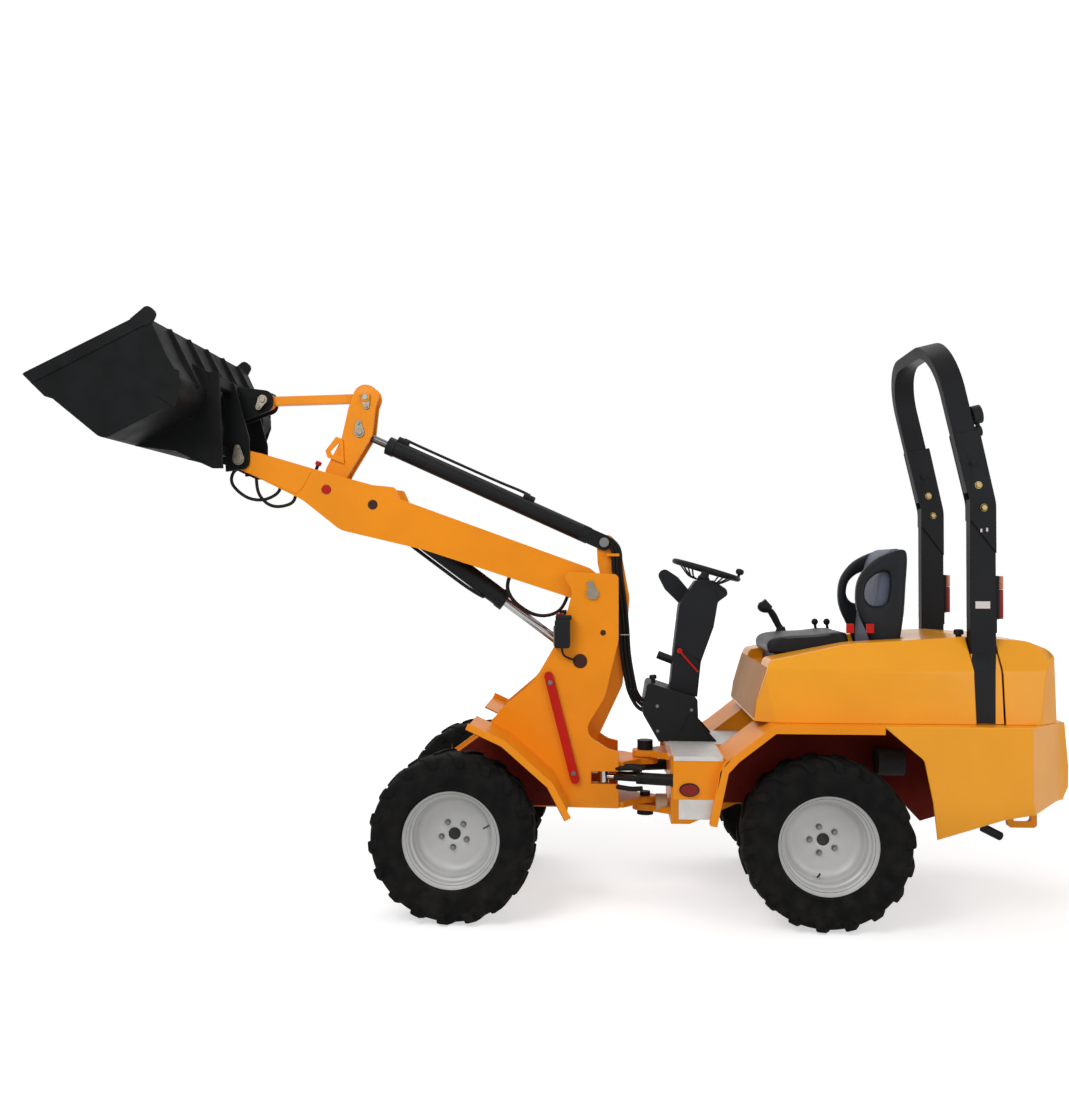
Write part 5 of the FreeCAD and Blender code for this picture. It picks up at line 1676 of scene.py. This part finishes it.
@dataclass
class FrontBody(Assembly):
    """Front frame, tower, fenders and lamps.  Sizes in millimetres."""

    home: ClassVar[str] = "front_chassis"
    link: Linkage = field(default_factory=Linkage)
    trio: TowerHoses = TowerHoses()
    face: float = 175.0
    lamp_depth: float = 75.0
    cable_radius: float = 5.0
    lock_face: float = 200.5

    def dress(self) -> None:
        """Dress the front chassis."""
        self.coat(("front_frame", Finish.ORANGE, 2.0), ("front_fenders", Finish.ORANGE, 1.2),
                  ("lock_bar", Finish.RED, 1.5))
        self.shop.paint("front_axle", Finish.CAST)
        self.shop.paint("tower_pins", Finish.ZINC)
        self.hoses()
        self.lamps()
        self.tower()
        self.arches()

    def tower(self) -> None:
        """Pin heads on the tower, dark discs of painted shade in the lift pin's hole and in a small port,
        the lamps' cables and the lift lock's ends.
        """
        pin = self.link.lift_lower
        # The dark discs over the lift pin's hole and the small port are painted shade in those recesses.
        head = drum("lift_pin_head", pin.x, pin.z, self.face + 0.4, self.face + 3.0, 33, 1.0)
        knuckle = drum("tilt_base_head", 200, 1700, 46, 52, 24, 1.5)
        self.shop.publish(both("tilt_base_heads", knuckle), "tilt_barrel", Finish.NUT)
        port = drum("tower_port", 205, 1266, self.face - 6, self.face - 3, 13.5, 0.8)
        self.put(both("tower_discs", join("tower_disc_half", [head, port])), Finish.PIN)
        for side, label in SIDES:
            line = [(400, 212, 1198), (400, 212, 1166), (372, 196, 1146), (338, 182, 1136)]
            cable = pipe(f"lamp_cable_{label}", [(x, side * y, z) for x, y, z in line], self.cable_radius)
            self.put(cable, Finish.PLASTIC)
        ends = [drum(f"lock_end_{z}", x, z, 187.2, 196.8, 22, 1.0) for x, z in ((464, 1059), (339, 570))]
        self.put(join("lock_ends", ends), Finish.RED)
        bolts = [(456.5, self.lock_face, 1029.7), (346.5, self.lock_face, 599.3)]
        self.shop.bolts("lock_bolts", "front_chassis", bolts, TO_LEFT, 9, 7, Finish.NUT)

    def arches(self) -> None:
        """Dark red plates inside the front wheel arches, painted shade under the fenders and on the tower's
        side.
        """
        under = [Vector((x, 0, z)) for x, z in ((813, 861), (653, 787), (451, 610), (372, 463))]
        wheel = Vector((875, 0, 375))
        skin = [p + (wheel - p).normalized() * d for d in (1.0, 3.0) for p in under]
        outline = [(p.x, p.z) for p in skin[:4] + skin[:3:-1]]
        wall = [(374, 440), (376, 462), (452, 604), (654, 781), (716, 810), (788, 774), (970, 640),
                (970, 444)]
        for side, label in SIDES:
            roof = plate(f"front_arch_roof_{label}", outline, *span(side, 178, 586), 0.4)
            cheek = plate(f"front_arch_wall_{label}", wall, *span(side, 175.4, 176.6), 0.3)
            # These plates paint the shade under the fender and on the tower's side wall.
            self.put(join(f"front_arch_{label}", [roof, cheek]), Finish.ARCH_SHADE)

    def hoses(self) -> None:
        """Three hoses down the tower's spine with their elbows and pale tie."""
        y, radius = self.trio.side, self.trio.radius
        for label, step in (("rear", -1), ("middle", 0), ("front", 1)):
            x = step * self.trio.spacing
            line = [(138, 1632), (138, 1560), (118, 1425), (103, 1285), (97, 1130), (66, 985)]
            route = [(px + x, y, z) for px, z in line]
            self.shop.hose(f"tower_hose_{label}", "front_chassis", route, radius, self.trio.length,
                           ["tilt_hoses"] if step == 0 else [])
            top = [(138 + x, y, 1628), (138 + x, y, 1652), (148 + 0.6 * x, y, 1680 - 0.8 * x),
                   (168, y, 1700 - x)]
            self.put(pipe(f"tower_elbow_{label}", top, radius), Finish.HOSE)
        tie = rod("hose_tie", Vector((101, y, 1247)), Vector((101, y, 1251)), [(0, 30), (4, 30)])
        centre = place(101, y, 1249)
        flatten = Matrix.Diagonal((1.0, 0.42, 1.0, 1.0))
        tie.data.transform(Matrix.Translation(centre) @ flatten @ Matrix.Translation(-centre))
        self.put(tie, Finish.BLANK)

    def lamps(self) -> None:
        """Box work lamps with lens, cap and marker."""
        for side, label in SIDES:
            y0, y1 = span(side, self.face, self.face + self.lamp_depth)
            case = block(f"lamp_case_{label}", (362, y0, 1196), (434, y1, 1330), 7)
            cap = block(f"lamp_cap_{label}", (354, y0 + 9, 1328), (430, y1 - 9, 1351), 5)
            stands_for = ["work_lamps"] if side > 0 else []
            self.put(join(f"work_lamp_{label}", [case, cap]), Finish.PLASTIC, stands_for)
            lens = block(f"lamp_lens_{label}", (433, y0 + 7, 1206), (440, y1 - 7, 1300), 3)
            self.put(lens, Finish.NUT)
            top = block(f"lamp_marker_{label}", (392, y0 + 16, 1350.5), (428, y1 - 16, 1360), 3)
            self.put(top, Finish.LENS_RED)


# Driver's station
@dataclass
class Station(Assembly):
    """Floor, console, column, steering wheel, seat and levers.  Sizes in millimetres."""

    home: ClassVar[str] = "rear_chassis"
    wheel_centre: Point = (-300.0, 0.0, 1565.0)
    wheel_tilt: float = 16.4
    wheel_radius: float = 172.0
    grip: float = 13.0
    spoke: float = 4.0
    trio: TowerHoses = TowerHoses()
    floor_top: float = 747.3
    console_half: float = 140.0
    lever_side: float = -290.0
    stick_radius: float = 14.0
    seat_half: float = 225.0
    centre_half: float = 176.0
    bolster_inner: float = 166.0
    bolster_outer: float = 215.0

    def dress(self) -> None:
        """Dress the driver's station."""
        self.coat(("operator_floor", Finish.ORANGE, 1.5), ("floor_plates", Finish.ALUMINIUM, 1.0),
                  ("console_box", Finish.BLACK, 3.0), ("seat_frame", Finish.BLACK, 2.0),
                  ("steering_column", Finish.PLASTIC, 3.0))
        self.markers()
        self.tread()
        self.console()
        self.steering_wheel()
        self.levers()
        self.seat()

    def markers(self) -> None:
        """Oval side markers on their dark bases."""
        turns = [2 * math.pi * i / 40 for i in range(40)]
        for name, wide, high, y0, y1, edge, finish in (("base", 44, 30, 560.2, 565, 1.0, Finish.PLASTIC),
                                                       ("lens", 39, 25, 565, 573.5, 4.0, Finish.LENS_RED)):
            outline = [(-172 + wide * math.cos(t), 602 + high * math.sin(t)) for t in turns]
            oval = plate(f"marker_{name}", outline, y0, y1, edge)
            self.put(both(f"side_marker_{name}", oval), finish, ["side_markers"] if name == "lens" else [])

    def tread(self) -> None:
        """Raised lozenges of the tread plate, in two crossed rows."""
        for turn, offset in ((math.pi / 4, 0.0), (-math.pi / 4, 0.5)):
            points = []
            for row in range(13):
                for column in range(-17, 18):
                    x = -88 - 30 * (row + offset)
                    y = 32 * (column + offset)
                    beside_console = x <= -318 or abs(y) >= 156
                    before_seat = x >= -310 or abs(y) <= 195
                    if abs(y) < 545 and x > -460 and beside_console and before_seat:
                        points.append((x, y, self.floor_top))
            shape = bmesh.new()
            rings = []
            for w, d, h in ((12, 4, 0), (9, 2.2, 1.2)):
                corners = ((-w, 0), (0, -d), (w, 0), (0, d))
                rings.append([shape.verts.new((a * MM, b * MM, h * MM)) for a, b in corners])
            bridge(shape, rings)
            shape.faces.new(rings[1])
            bar = from_bmesh("lozenge", shape)
            name = f"tread_{'left' if turn > 0 else 'right'}"
            made = self.shop.repeater.on_points(name, bar, points, (0.0, 0.0, turn),
                                                self.shop.palette.get(Finish.ALUMINIUM))
            self.put(made, Finish.ALUMINIUM)

    def console(self) -> None:
        """Console screws, side gussets, red lever, hose stubs and front knob."""
        corners = [(-53, 914), (-216, 897), (-55, 795), (-221, 770)]
        outline = [(-150, 748), (-150, 760), (-206, 872), (-222, 876), (-333, 752), (-333, 748)]
        for side, label in SIDES:
            turn = TO_LEFT if side > 0 else TO_RIGHT
            points = [(x, side * self.console_half, z) for x, z in corners]
            self.shop.bolts(f"console_screws_{label}", "rear_chassis", points, turn, 6, 4, Finish.NUT)
            y0, y1 = span(side, self.console_half + 1, self.console_half + 7)
            gusset = plate(f"console_gusset_{label}", outline, y0, y1, 1.5)
            self.put(gusset, Finish.BLACK)
        arm = pipe("red_lever", [(-160, 74, 1180), (-182, 74, 1150), (-253, 72, 1072)], 5.0)
        eye = drum("red_lever_eye", -164, 1174, 67, 81, 13, 2)
        self.put(join("red_lever_whole", [arm, eye]), Finish.RED)
        y = self.trio.side
        for index in range(3):
            s = (index - 1) * self.trio.spacing
            line = [(-60, y, 884 - s), (-24, y, 888 - s), (16 + s, y, 904 - s), (50 + s, y, 942),
                    (66 + s, y, 984)]
            self.put(pipe(f"console_hose_{index}", line, self.trio.radius), Finish.HOSE)
        knob = rod("console_knob", Vector((-40, 40, 1010)), Vector((-36, 40, 1060)),
                   [(0, 10), (22, 10), (26, 18), (40, 18), (44, 14)])
        self.put(knob, Finish.PLASTIC)

    def steering_wheel(self) -> None:
        """Rim, hub, dished wire spokes and spinner knob."""
        turn = Matrix.Rotation(math.pi / 2, 4, "X")
        lean = Matrix.Rotation(-math.radians(self.wheel_tilt), 4, "Y")
        seat = Matrix.Translation(place(*self.wheel_centre)) @ lean
        reach = self.wheel_radius - self.grip
        turns = [a * math.pi / 8 for a in range(16)]
        bead = [(reach + self.grip * math.cos(a), self.grip * math.sin(a)) for a in turns]
        rim = lathe("wheel_rim", bead, 96, math.radians(60))
        boss = [(0.5, -64), (24, -64), (30, -58), (30, -40), (22, -30), (18, -8), (12, 2), (0.5, 4)]
        hub = lathe("wheel_hub", boss, 40)
        ball = [(0.5, 10), (7, 10), (7, 22), (16, 26), (20, 34), (20, 42), (15, 50), (0.5, 53)]
        knob = lathe("wheel_knob", ball, 32)
        for piece in (rim, hub, knob):
            piece.data.transform(turn)
        knob.data.transform(Matrix.Translation((-reach * MM, 0, 0)))
        pieces = [rim, hub, knob]
        for index in range(4):
            way = math.radians(45 + 90 * index)
            for spread in (-0.22, 0.22):
                ends = [(155, 0, spread), (120, -30, spread * 0.8), (78, -58, 0.3 * spread), (24, -54, 0.0)]
                line = [(MIDDLE_X + d * math.cos(way + g), d * math.sin(way + g), h) for d, h, g in ends]
                pieces.append(pipe(f"spoke_{index}_{spread}", line, self.spoke))
        whole = join("steering_wheel_whole", pieces)
        whole.data.transform(seat)
        self.shop.publish(whole, "steering_wheel", Finish.PLASTIC, ["steering_wheel"])

    def levers(self) -> None:
        """Control levers with a gaitered joystick."""
        self.shop.rounded("control_levers", Finish.PLASTIC, 1.5)
        y = self.lever_side
        folds = [(0, 40), (8, 33), (12, 36), (20, 28), (24, 31), (32, 23), (36, 26), (46, 17), (60, 13)]
        gaiter = rod("gaiter", Vector((-712, y, 1222)), Vector((-700, y, 1290)), folds)
        stem = [(-706, y, 1262), (-690, y, 1300), (-668, y, 1345), (-640, y, 1368), (-618, y, 1378)]
        stick = pipe("joystick", stem, self.stick_radius)
        ball = [(0, 14), (8, 22), (26, 28), (44, 28), (58, 22), (66, 12)]
        grip = rod("joystick_grip", Vector((-655, y, 1362)), Vector((-590, y, 1385)), ball)
        for piece in (gaiter, stick, grip):
            self.put(piece, Finish.PLASTIC)

    def seat(self) -> None:
        """Cushion, centre pad with a painted bluish sheen in its colour, and the two looped side bolsters,
        with belt buckles.
        """
        base = [(-572, 1180), (-566, 1215), (-590, 1243), (-660, 1256), (-780, 1262), (-890, 1274),
                (-935, 1262), (-940, 1190), (-900, 1174), (-740, 1173), (-600, 1173)]
        cushion = pillow("seat_pad", base, -self.seat_half, self.seat_half, 34)
        self.put(cushion, Finish.VINYL, ["seat_cushion"])
        outer = [(-1068, 1178), (-1028, 1270), (-984, 1370), (-974, 1450), (-990, 1530), (-1045, 1602),
                 (-1120, 1645), (-1190, 1662), (-1212, 1630), (-1205, 1500), (-1192, 1330), (-1160, 1200)]
        hole = [(-1080, 1398), (-1046, 1402), (-1022, 1425), (-1015, 1458), (-1026, 1504), (-1058, 1538),
                (-1098, 1556), (-1126, 1552), (-1134, 1520), (-1132, 1470), (-1124, 1425), (-1106, 1402)]
        for side, label in SIDES:
            y0, y1 = span(side, self.bolster_inner, self.bolster_outer)
            ring = padded_ring(f"seat_bolster_{label}", outer, hole, y0, y1)
            self.put(ring, Finish.VINYL, ["seat_back"] if side > 0 else [])
        back = [(-1062, 1178), (-1052, 1260), (-1066, 1380), (-1086, 1500), (-1104, 1600), (-1140, 1656),
                (-1186, 1664), (-1208, 1630), (-1204, 1500), (-1184, 1300), (-1150, 1180), (-1100, 1174)]
        centre = pillow("seat_centre", back, -self.centre_half, self.centre_half, 22)
        # The centre pad's light blue-grey finish is a painted sheen.
        self.put(centre, Finish.CLOTH)
        for index, x in enumerate((-941, -1033)):
            buckle = block(f"belt_buckle_{index}", (x - 17, 222, 1272), (x + 17, 240, 1316), 4)
            self.put(buckle, Finish.RED)


# Rear body
@dataclass
class RearBody(Assembly):
    """Hood, ballast, fenders, roll bar, lamps and running parts.  Sizes in millimetres."""

    home: ClassVar[str] = "rear_chassis"
    lamp_inner: float = 344.5
    lamp_outer: float = 395.5
    bolt_radius: float = 13.0
    bolt_height: float = 11.0
    steer_base: Point = (-275.0, 250.0, 575.0)
    steer_way: Pair = (0.969, -0.246)
    hose_radius: float = 12.0
    rail_face: float = 219.0
    cover_face: float = 400.5
    cover_skew: float = 0.40

    def dress(self) -> None:
        """Dress the rear chassis, bonnet and hoop."""
        # Hood, bonnet and ballast take the lighter orange: real clear coat, with painted light in its
        # colour.
        self.coat(("rear_frame", Finish.ORANGE, 1.5), ("rear_fenders", Finish.ORANGE, 1.5),
                  ("tow_hook", Finish.ORANGE, 1.5), ("hood", Finish.GLOSS_PAINTED_LIGHT, 4.0),
                  ("engine_bonnet", Finish.GLOSS_PAINTED_LIGHT, 4.0), ("rear_ballast", Finish.GLOSS_PAINTED_LIGHT, 5.0),
                  ("rops_posts", Finish.BLACK, 4.0), ("rops_hoop", Finish.BLACK, 4.0))
        self.shop.paint("pivot_pins", Finish.BLACK)
        self.shop.rounded("hoop_lamp", Finish.PLASTIC, 2.0)
        self.lamps()
        self.roll_bar()
        self.arches()
        self.hood_trim()
        for node in ("rear_axle", "engine_block", "muffler"):
            self.shop.paint(node, Finish.CAST)
        self.steering()

    def steering(self) -> None:
        """Steering cylinders with the hoses that follow them."""
        routes = ((20, 42, 300, 428), (-8, 46, 292, 424), (46, 4, 306, 430), (22, -41, 298, 424))
        for side, label in SIDES:
            self.shop.paint(f"steering_barrel_{label}", Finish.BLACK)
            self.shop.paint(f"steering_rod_{label}", Finish.CHROME)
            x, y, z = self.steer_base
            ahead, aside = self.steer_way
            base, way = Vector((x, side * y, z)), Vector((ahead, side * aside, 0))
            across = Vector((-aside, side * ahead, 0))
            for index, (out, up, start, end) in enumerate(routes):
                line = [base + way * d + across * (out * k) + Vector((0, 0, up * k))
                        for d, k in ((start, 1.05), (start + 40, 1.2), (end - 40, 1.12), (end, 1.02))]
                made = pipe(f"steering_hose_{label}_{index}", line, self.hose_radius)
                self.shop.publish(made, f"steer_rod_{label}", Finish.HOSE)

    def lamps(self) -> None:
        """Tall tail lamps, red below and amber above, on their brackets."""
        for side, label in SIDES:
            y0, y1 = span(side, self.lamp_inner, self.lamp_outer)
            bracket = block(f"tail_bracket_{label}", (-1551.3, y0 + 3, 1285), (-1545.6, y1 - 3, 1540), 1.2)
            case = block(f"tail_case_{label}", (-1560, y0, 1345), (-1551, y1, 1540), 2)
            stands_for = ["rear_lamps"] if side > 0 else []
            self.put(join(f"tail_base_{label}", [bracket, case]), Finish.BLACK, stands_for)
            red = block(f"tail_red_{label}", (-1579, y0 + 1, 1347), (-1560, y1 - 1, 1478), 4)
            self.put(red, Finish.LENS_RED)
            amber = block(f"tail_amber_{label}", (-1579, y0 + 1, 1479), (-1560, y1 - 1, 1539), 4)
            self.put(amber, Finish.LENS_AMBER)

    def roll_bar(self) -> None:
        """Hinge bolts, lock slots, bare label and the covers beside the posts."""
        for side in (1, -1):
            for face, label in ((410.2, "outer"), (-330.2, "inner")):
                turn = TO_LEFT if face * side > 0 else TO_RIGHT
                name = f"cheek_{label}_{'left' if side > 0 else 'right'}"
                y = side * abs(face)
                hinge = y + side * (2 if face > 0 else -2)
                for part, body, point in (("bolts", "hoop", (-1466, y, 1945)),
                                          ("hinge", "rear_chassis", (-1489, hinge, 1844))):
                    self.shop.bolts(f"{name}_{part}", body, [point], turn, self.bolt_radius,
                                    self.bolt_height, Finish.GOLD)
        slots = [block(f"slot_{z}", (x - 4, 409.8, z - 8), (x + 4, 410.8, z + 8), 0.3)
                 for x, z in ((-1478, 1742), (-1503, 1746))]
        self.shop.publish(join("lock_slots", slots), "hoop", Finish.BLANK)
        label_plate = block("bare_label", (-1518, 399.8, 1394), (-1454, 401.2, 1426), 0.4)
        self.put(label_plate, Finish.BLANK)
        for side, label in SIDES:
            corners = ((self.cover_face, 892), (483, 892), (455.5, 1118), (self.cover_face + 1, 1194))
            profile = [(side * y, z) for y, z in corners]
            inner = [(y - side * 1.5, z - 1.5) for y, z in profile]
            # The filler takes the hood's lighter orange, with its painted light.
            self.put(slab(f"post_filler_{label}", inner, -1547, -1431), Finish.GLOSS_PAINTED_LIGHT)
            cover = slab(f"post_cover_{label}", profile, -1543, -1438)
            for vertex in cover.data.vertices:
                vertex.co.x += self.cover_skew * (abs(vertex.co.y) - self.cover_face * MM)
            self.put(cover, Finish.BLACK)

    def arches(self) -> None:
        """Dark red plates inside the rear wheel arches, painted shade under the fenders."""
        skin = [(-350, 731), (-540, 871.5), (-1004, 871.5), (-1004, 869.5), (-541, 869.5), (-352, 729)]
        leaf = [(-350, 730), (-540, 870), (-1010, 870), (-1010, 476), (-350, 476)]
        strip = [(-998, 870), (-1550, 870), (-1550, 494), (-1260, 402), (-1190, 476), (-998, 476)]
        end = [(-1552, 872), (-1550, 872), (-1550, 560), (-1552, 560)]
        for side, label in SIDES:
            inner = self.rail_face
            roof = plate(f"arch_roof_{label}", skin, *span(side, inner, 592), 0.4)
            wall = plate(f"arch_wall_{label}", leaf, *span(side, inner - 1.4, inner), 0.3)
            rail = plate(f"arch_rail_{label}", strip, *span(side, inner - 6, inner - 4.6), 0.3)
            back = plate(f"arch_back_{label}", end, *span(side, inner - 3, 546), 0.3)
            # These plates paint the shade under the rear fender.
            self.put(join(f"arch_liner_{label}", [roof, wall, rail, back]), Finish.ARCH_SHADE)

    def hood_trim(self) -> None:
        """Tan panel, tank cap, the stub under the weight and the pivot's bush."""
        front = [(-467.5, 900), (-480, 980), (-527.5, 1128), (-530.5, 1127.2), (-482.6, 980.6),
                 (-470.2, 900)]
        self.put(plate("hood_front_panel", front, -425, 425, 0.4), Finish.PANEL)
        for name, start, stop, profile, finish in (
                ("tank_cap", (-1412, 300, 1254), (-1412, 300, 1300),
                 [(0, 13), (17, 13), (19, 22), (36, 22), (42, 17)], Finish.PLASTIC),
                ("under_stub", (-1530, 250, 386), (-1618, 250, 342), [(0, 20), (92, 20), (97, 15)],
                 Finish.BLACK),
                ("flange_bush", (-104, 60, 438), (-48, 60, 438), [(0, 39), (3, 42), (53, 42), (56, 39)],
                 Finish.BRASS)):
            self.put(rod(name, Vector(start), Vector(stop), profile), finish)


# Studio
@dataclass
class Studio:
    """Floor, lights, world and camera."""

    eye: Point = (199.5, 5300.0, 1572.1)
    yaw: float = 0.06502
    pitch: float = 0.01132
    focal: float = 1070.785
    view_width: float = 1069.0
    sensor: float = 36.0
    floor_half: float = 30.0
    floor_tone: float = 0.80
    shadow_ring: Pair = (2.5, 7.0)
    floor_glow: Pair = (0.56, 0.90)
    sky: float = 0.34
    aim: Point = (300.0, 0.0, 1000.0)
    lamps: Tuple[Tuple[str, Point, float, float], ...] = (
        ("key", (2600, 4200, 4800), 3.0, 140), ("fill", (-3800, 4000, 2600), 3.5, 56),
        ("top", (0, -1200, 6000), 4.0, 68))

    def camera(self) -> None:
        """Place the camera."""
        forward = Matrix.Rotation(self.yaw, 3, "Z") @ Vector((0, -1, 0))
        right = Matrix.Rotation(self.yaw, 3, "Z") @ Vector((-1, 0, 0))
        forward = Matrix.Rotation(self.pitch, 3, right) @ forward
        up = right.cross(forward)
        data = bpy.data.cameras.new("camera")
        data.sensor_fit = "HORIZONTAL"
        data.sensor_width = self.sensor
        data.lens = self.sensor * self.focal / self.view_width
        data.clip_end = 100.0
        made = bpy.data.objects.new("camera", data)
        turn = Matrix((right, up, -forward)).transposed()
        made.matrix_world = Matrix.Translation(place(*self.eye)) @ turn.to_4x4()
        bpy.context.scene.collection.objects.link(made)
        bpy.context.scene.camera = made

    def floor(self) -> None:
        """Pale floor that keeps the shadow."""
        mesh = bpy.data.meshes.new("floor")
        size = self.floor_half
        mesh.from_pydata([(-size, -size, 0), (size, -size, 0), (size, size, 0), (-size, size, 0)], [],
                         [(0, 1, 2, 3)])
        plane = link("floor", mesh)
        material = bpy.data.materials.new("pale_floor")
        material.use_nodes = True
        tree = material.node_tree
        shader = tree.nodes["Principled BSDF"]
        shader.inputs["Base Color"].default_value = (*[self.floor_tone] * 3, 1)
        shader.inputs["Roughness"].default_value = 0.9
        path = tree.nodes.new("ShaderNodeLightPath")
        seen = math_node(tree, "MAXIMUM", path.outputs["Is Camera Ray"], path.outputs["Is Glossy Ray"])
        where = tree.nodes.new("ShaderNodeTexCoord")
        reach = tree.nodes.new("ShaderNodeVectorMath")
        reach.operation = "LENGTH"
        tree.links.new(where.outputs["Object"], reach.inputs[0])
        far = tree.nodes.new("ShaderNodeMapRange")
        for socket, value in zip(("From Min", "From Max", "To Min", "To Max"),
                                 self.shadow_ring + self.floor_glow):
            far.inputs[socket].default_value = value
        tree.links.new(reach.outputs["Value"], far.inputs["Value"])
        shader.inputs["Emission Color"].default_value = (1, 1, 1, 1)
        glow = math_node(tree, "MULTIPLY", seen, far.outputs["Result"])
        tree.links.new(glow, shader.inputs["Emission Strength"])
        mesh.materials.append(material)
        plane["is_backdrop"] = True

    def world(self) -> None:
        """Soft even sky that looks white to the camera and in reflections."""
        world = bpy.data.worlds.new("studio")
        world.use_nodes = True
        bpy.context.scene.world = world
        tree = world.node_tree
        shade = tree.nodes["Background"]
        shade.inputs["Color"].default_value = (1, 1, 1, 1)
        path = tree.nodes.new("ShaderNodeLightPath")
        seen = math_node(tree, "MAXIMUM", path.outputs["Is Camera Ray"], path.outputs["Is Transmission Ray"])
        either = math_node(tree, "MAXIMUM", seen, path.outputs["Is Glossy Ray"])
        level = tree.nodes.new("ShaderNodeMapRange")
        tree.links.new(either, level.inputs["Value"])
        level.inputs["To Min"].default_value = self.sky
        level.inputs["To Max"].default_value = 1.0
        tree.links.new(level.outputs["Result"], shade.inputs["Strength"])

    def lamp(self, name: str, where: Point, size: float, power: float) -> None:
        """Add one soft area lamp.

        Args:
            name: Lamp name.
            where: Layout point in millimetres.
            size: Width of the lamp in metres.
            power: Watts.
        """
        data = bpy.data.lights.new(name, "AREA")
        data.shape = "DISK"
        data.size = size
        data.energy = power
        made = bpy.data.objects.new(name, data)
        made.location = place(*where)
        made.rotation_euler = (place(*self.aim) - place(*where)).to_track_quat("-Z", "Y").to_euler()
        bpy.context.scene.collection.objects.link(made)

    def build(self) -> None:
        """Set up the whole studio."""
        self.camera()
        self.floor()
        self.world()
        for lamp in self.lamps:
            self.lamp(*lamp)
        bpy.context.scene.view_settings.view_transform = "Standard"


def corners() -> List[List[float]]:
    """Return the whole object's box as plain numbers."""
    return [[float(v) for v in corner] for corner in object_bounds()]


def main() -> None:
    """Build the machine's looks."""
    logging.basicConfig(level=logging.INFO, format="%(message)s")
    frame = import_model()
    Studio().build()
    shop = Workshop(frame)
    for group in (Wheels(shop), BoomGroup(shop), FrontBody(shop), Station(shop), RearBody(shop)):
        group.dress()
    LOG.info("%d pieces", shop.count)


if __name__ == "__main__":
    main()
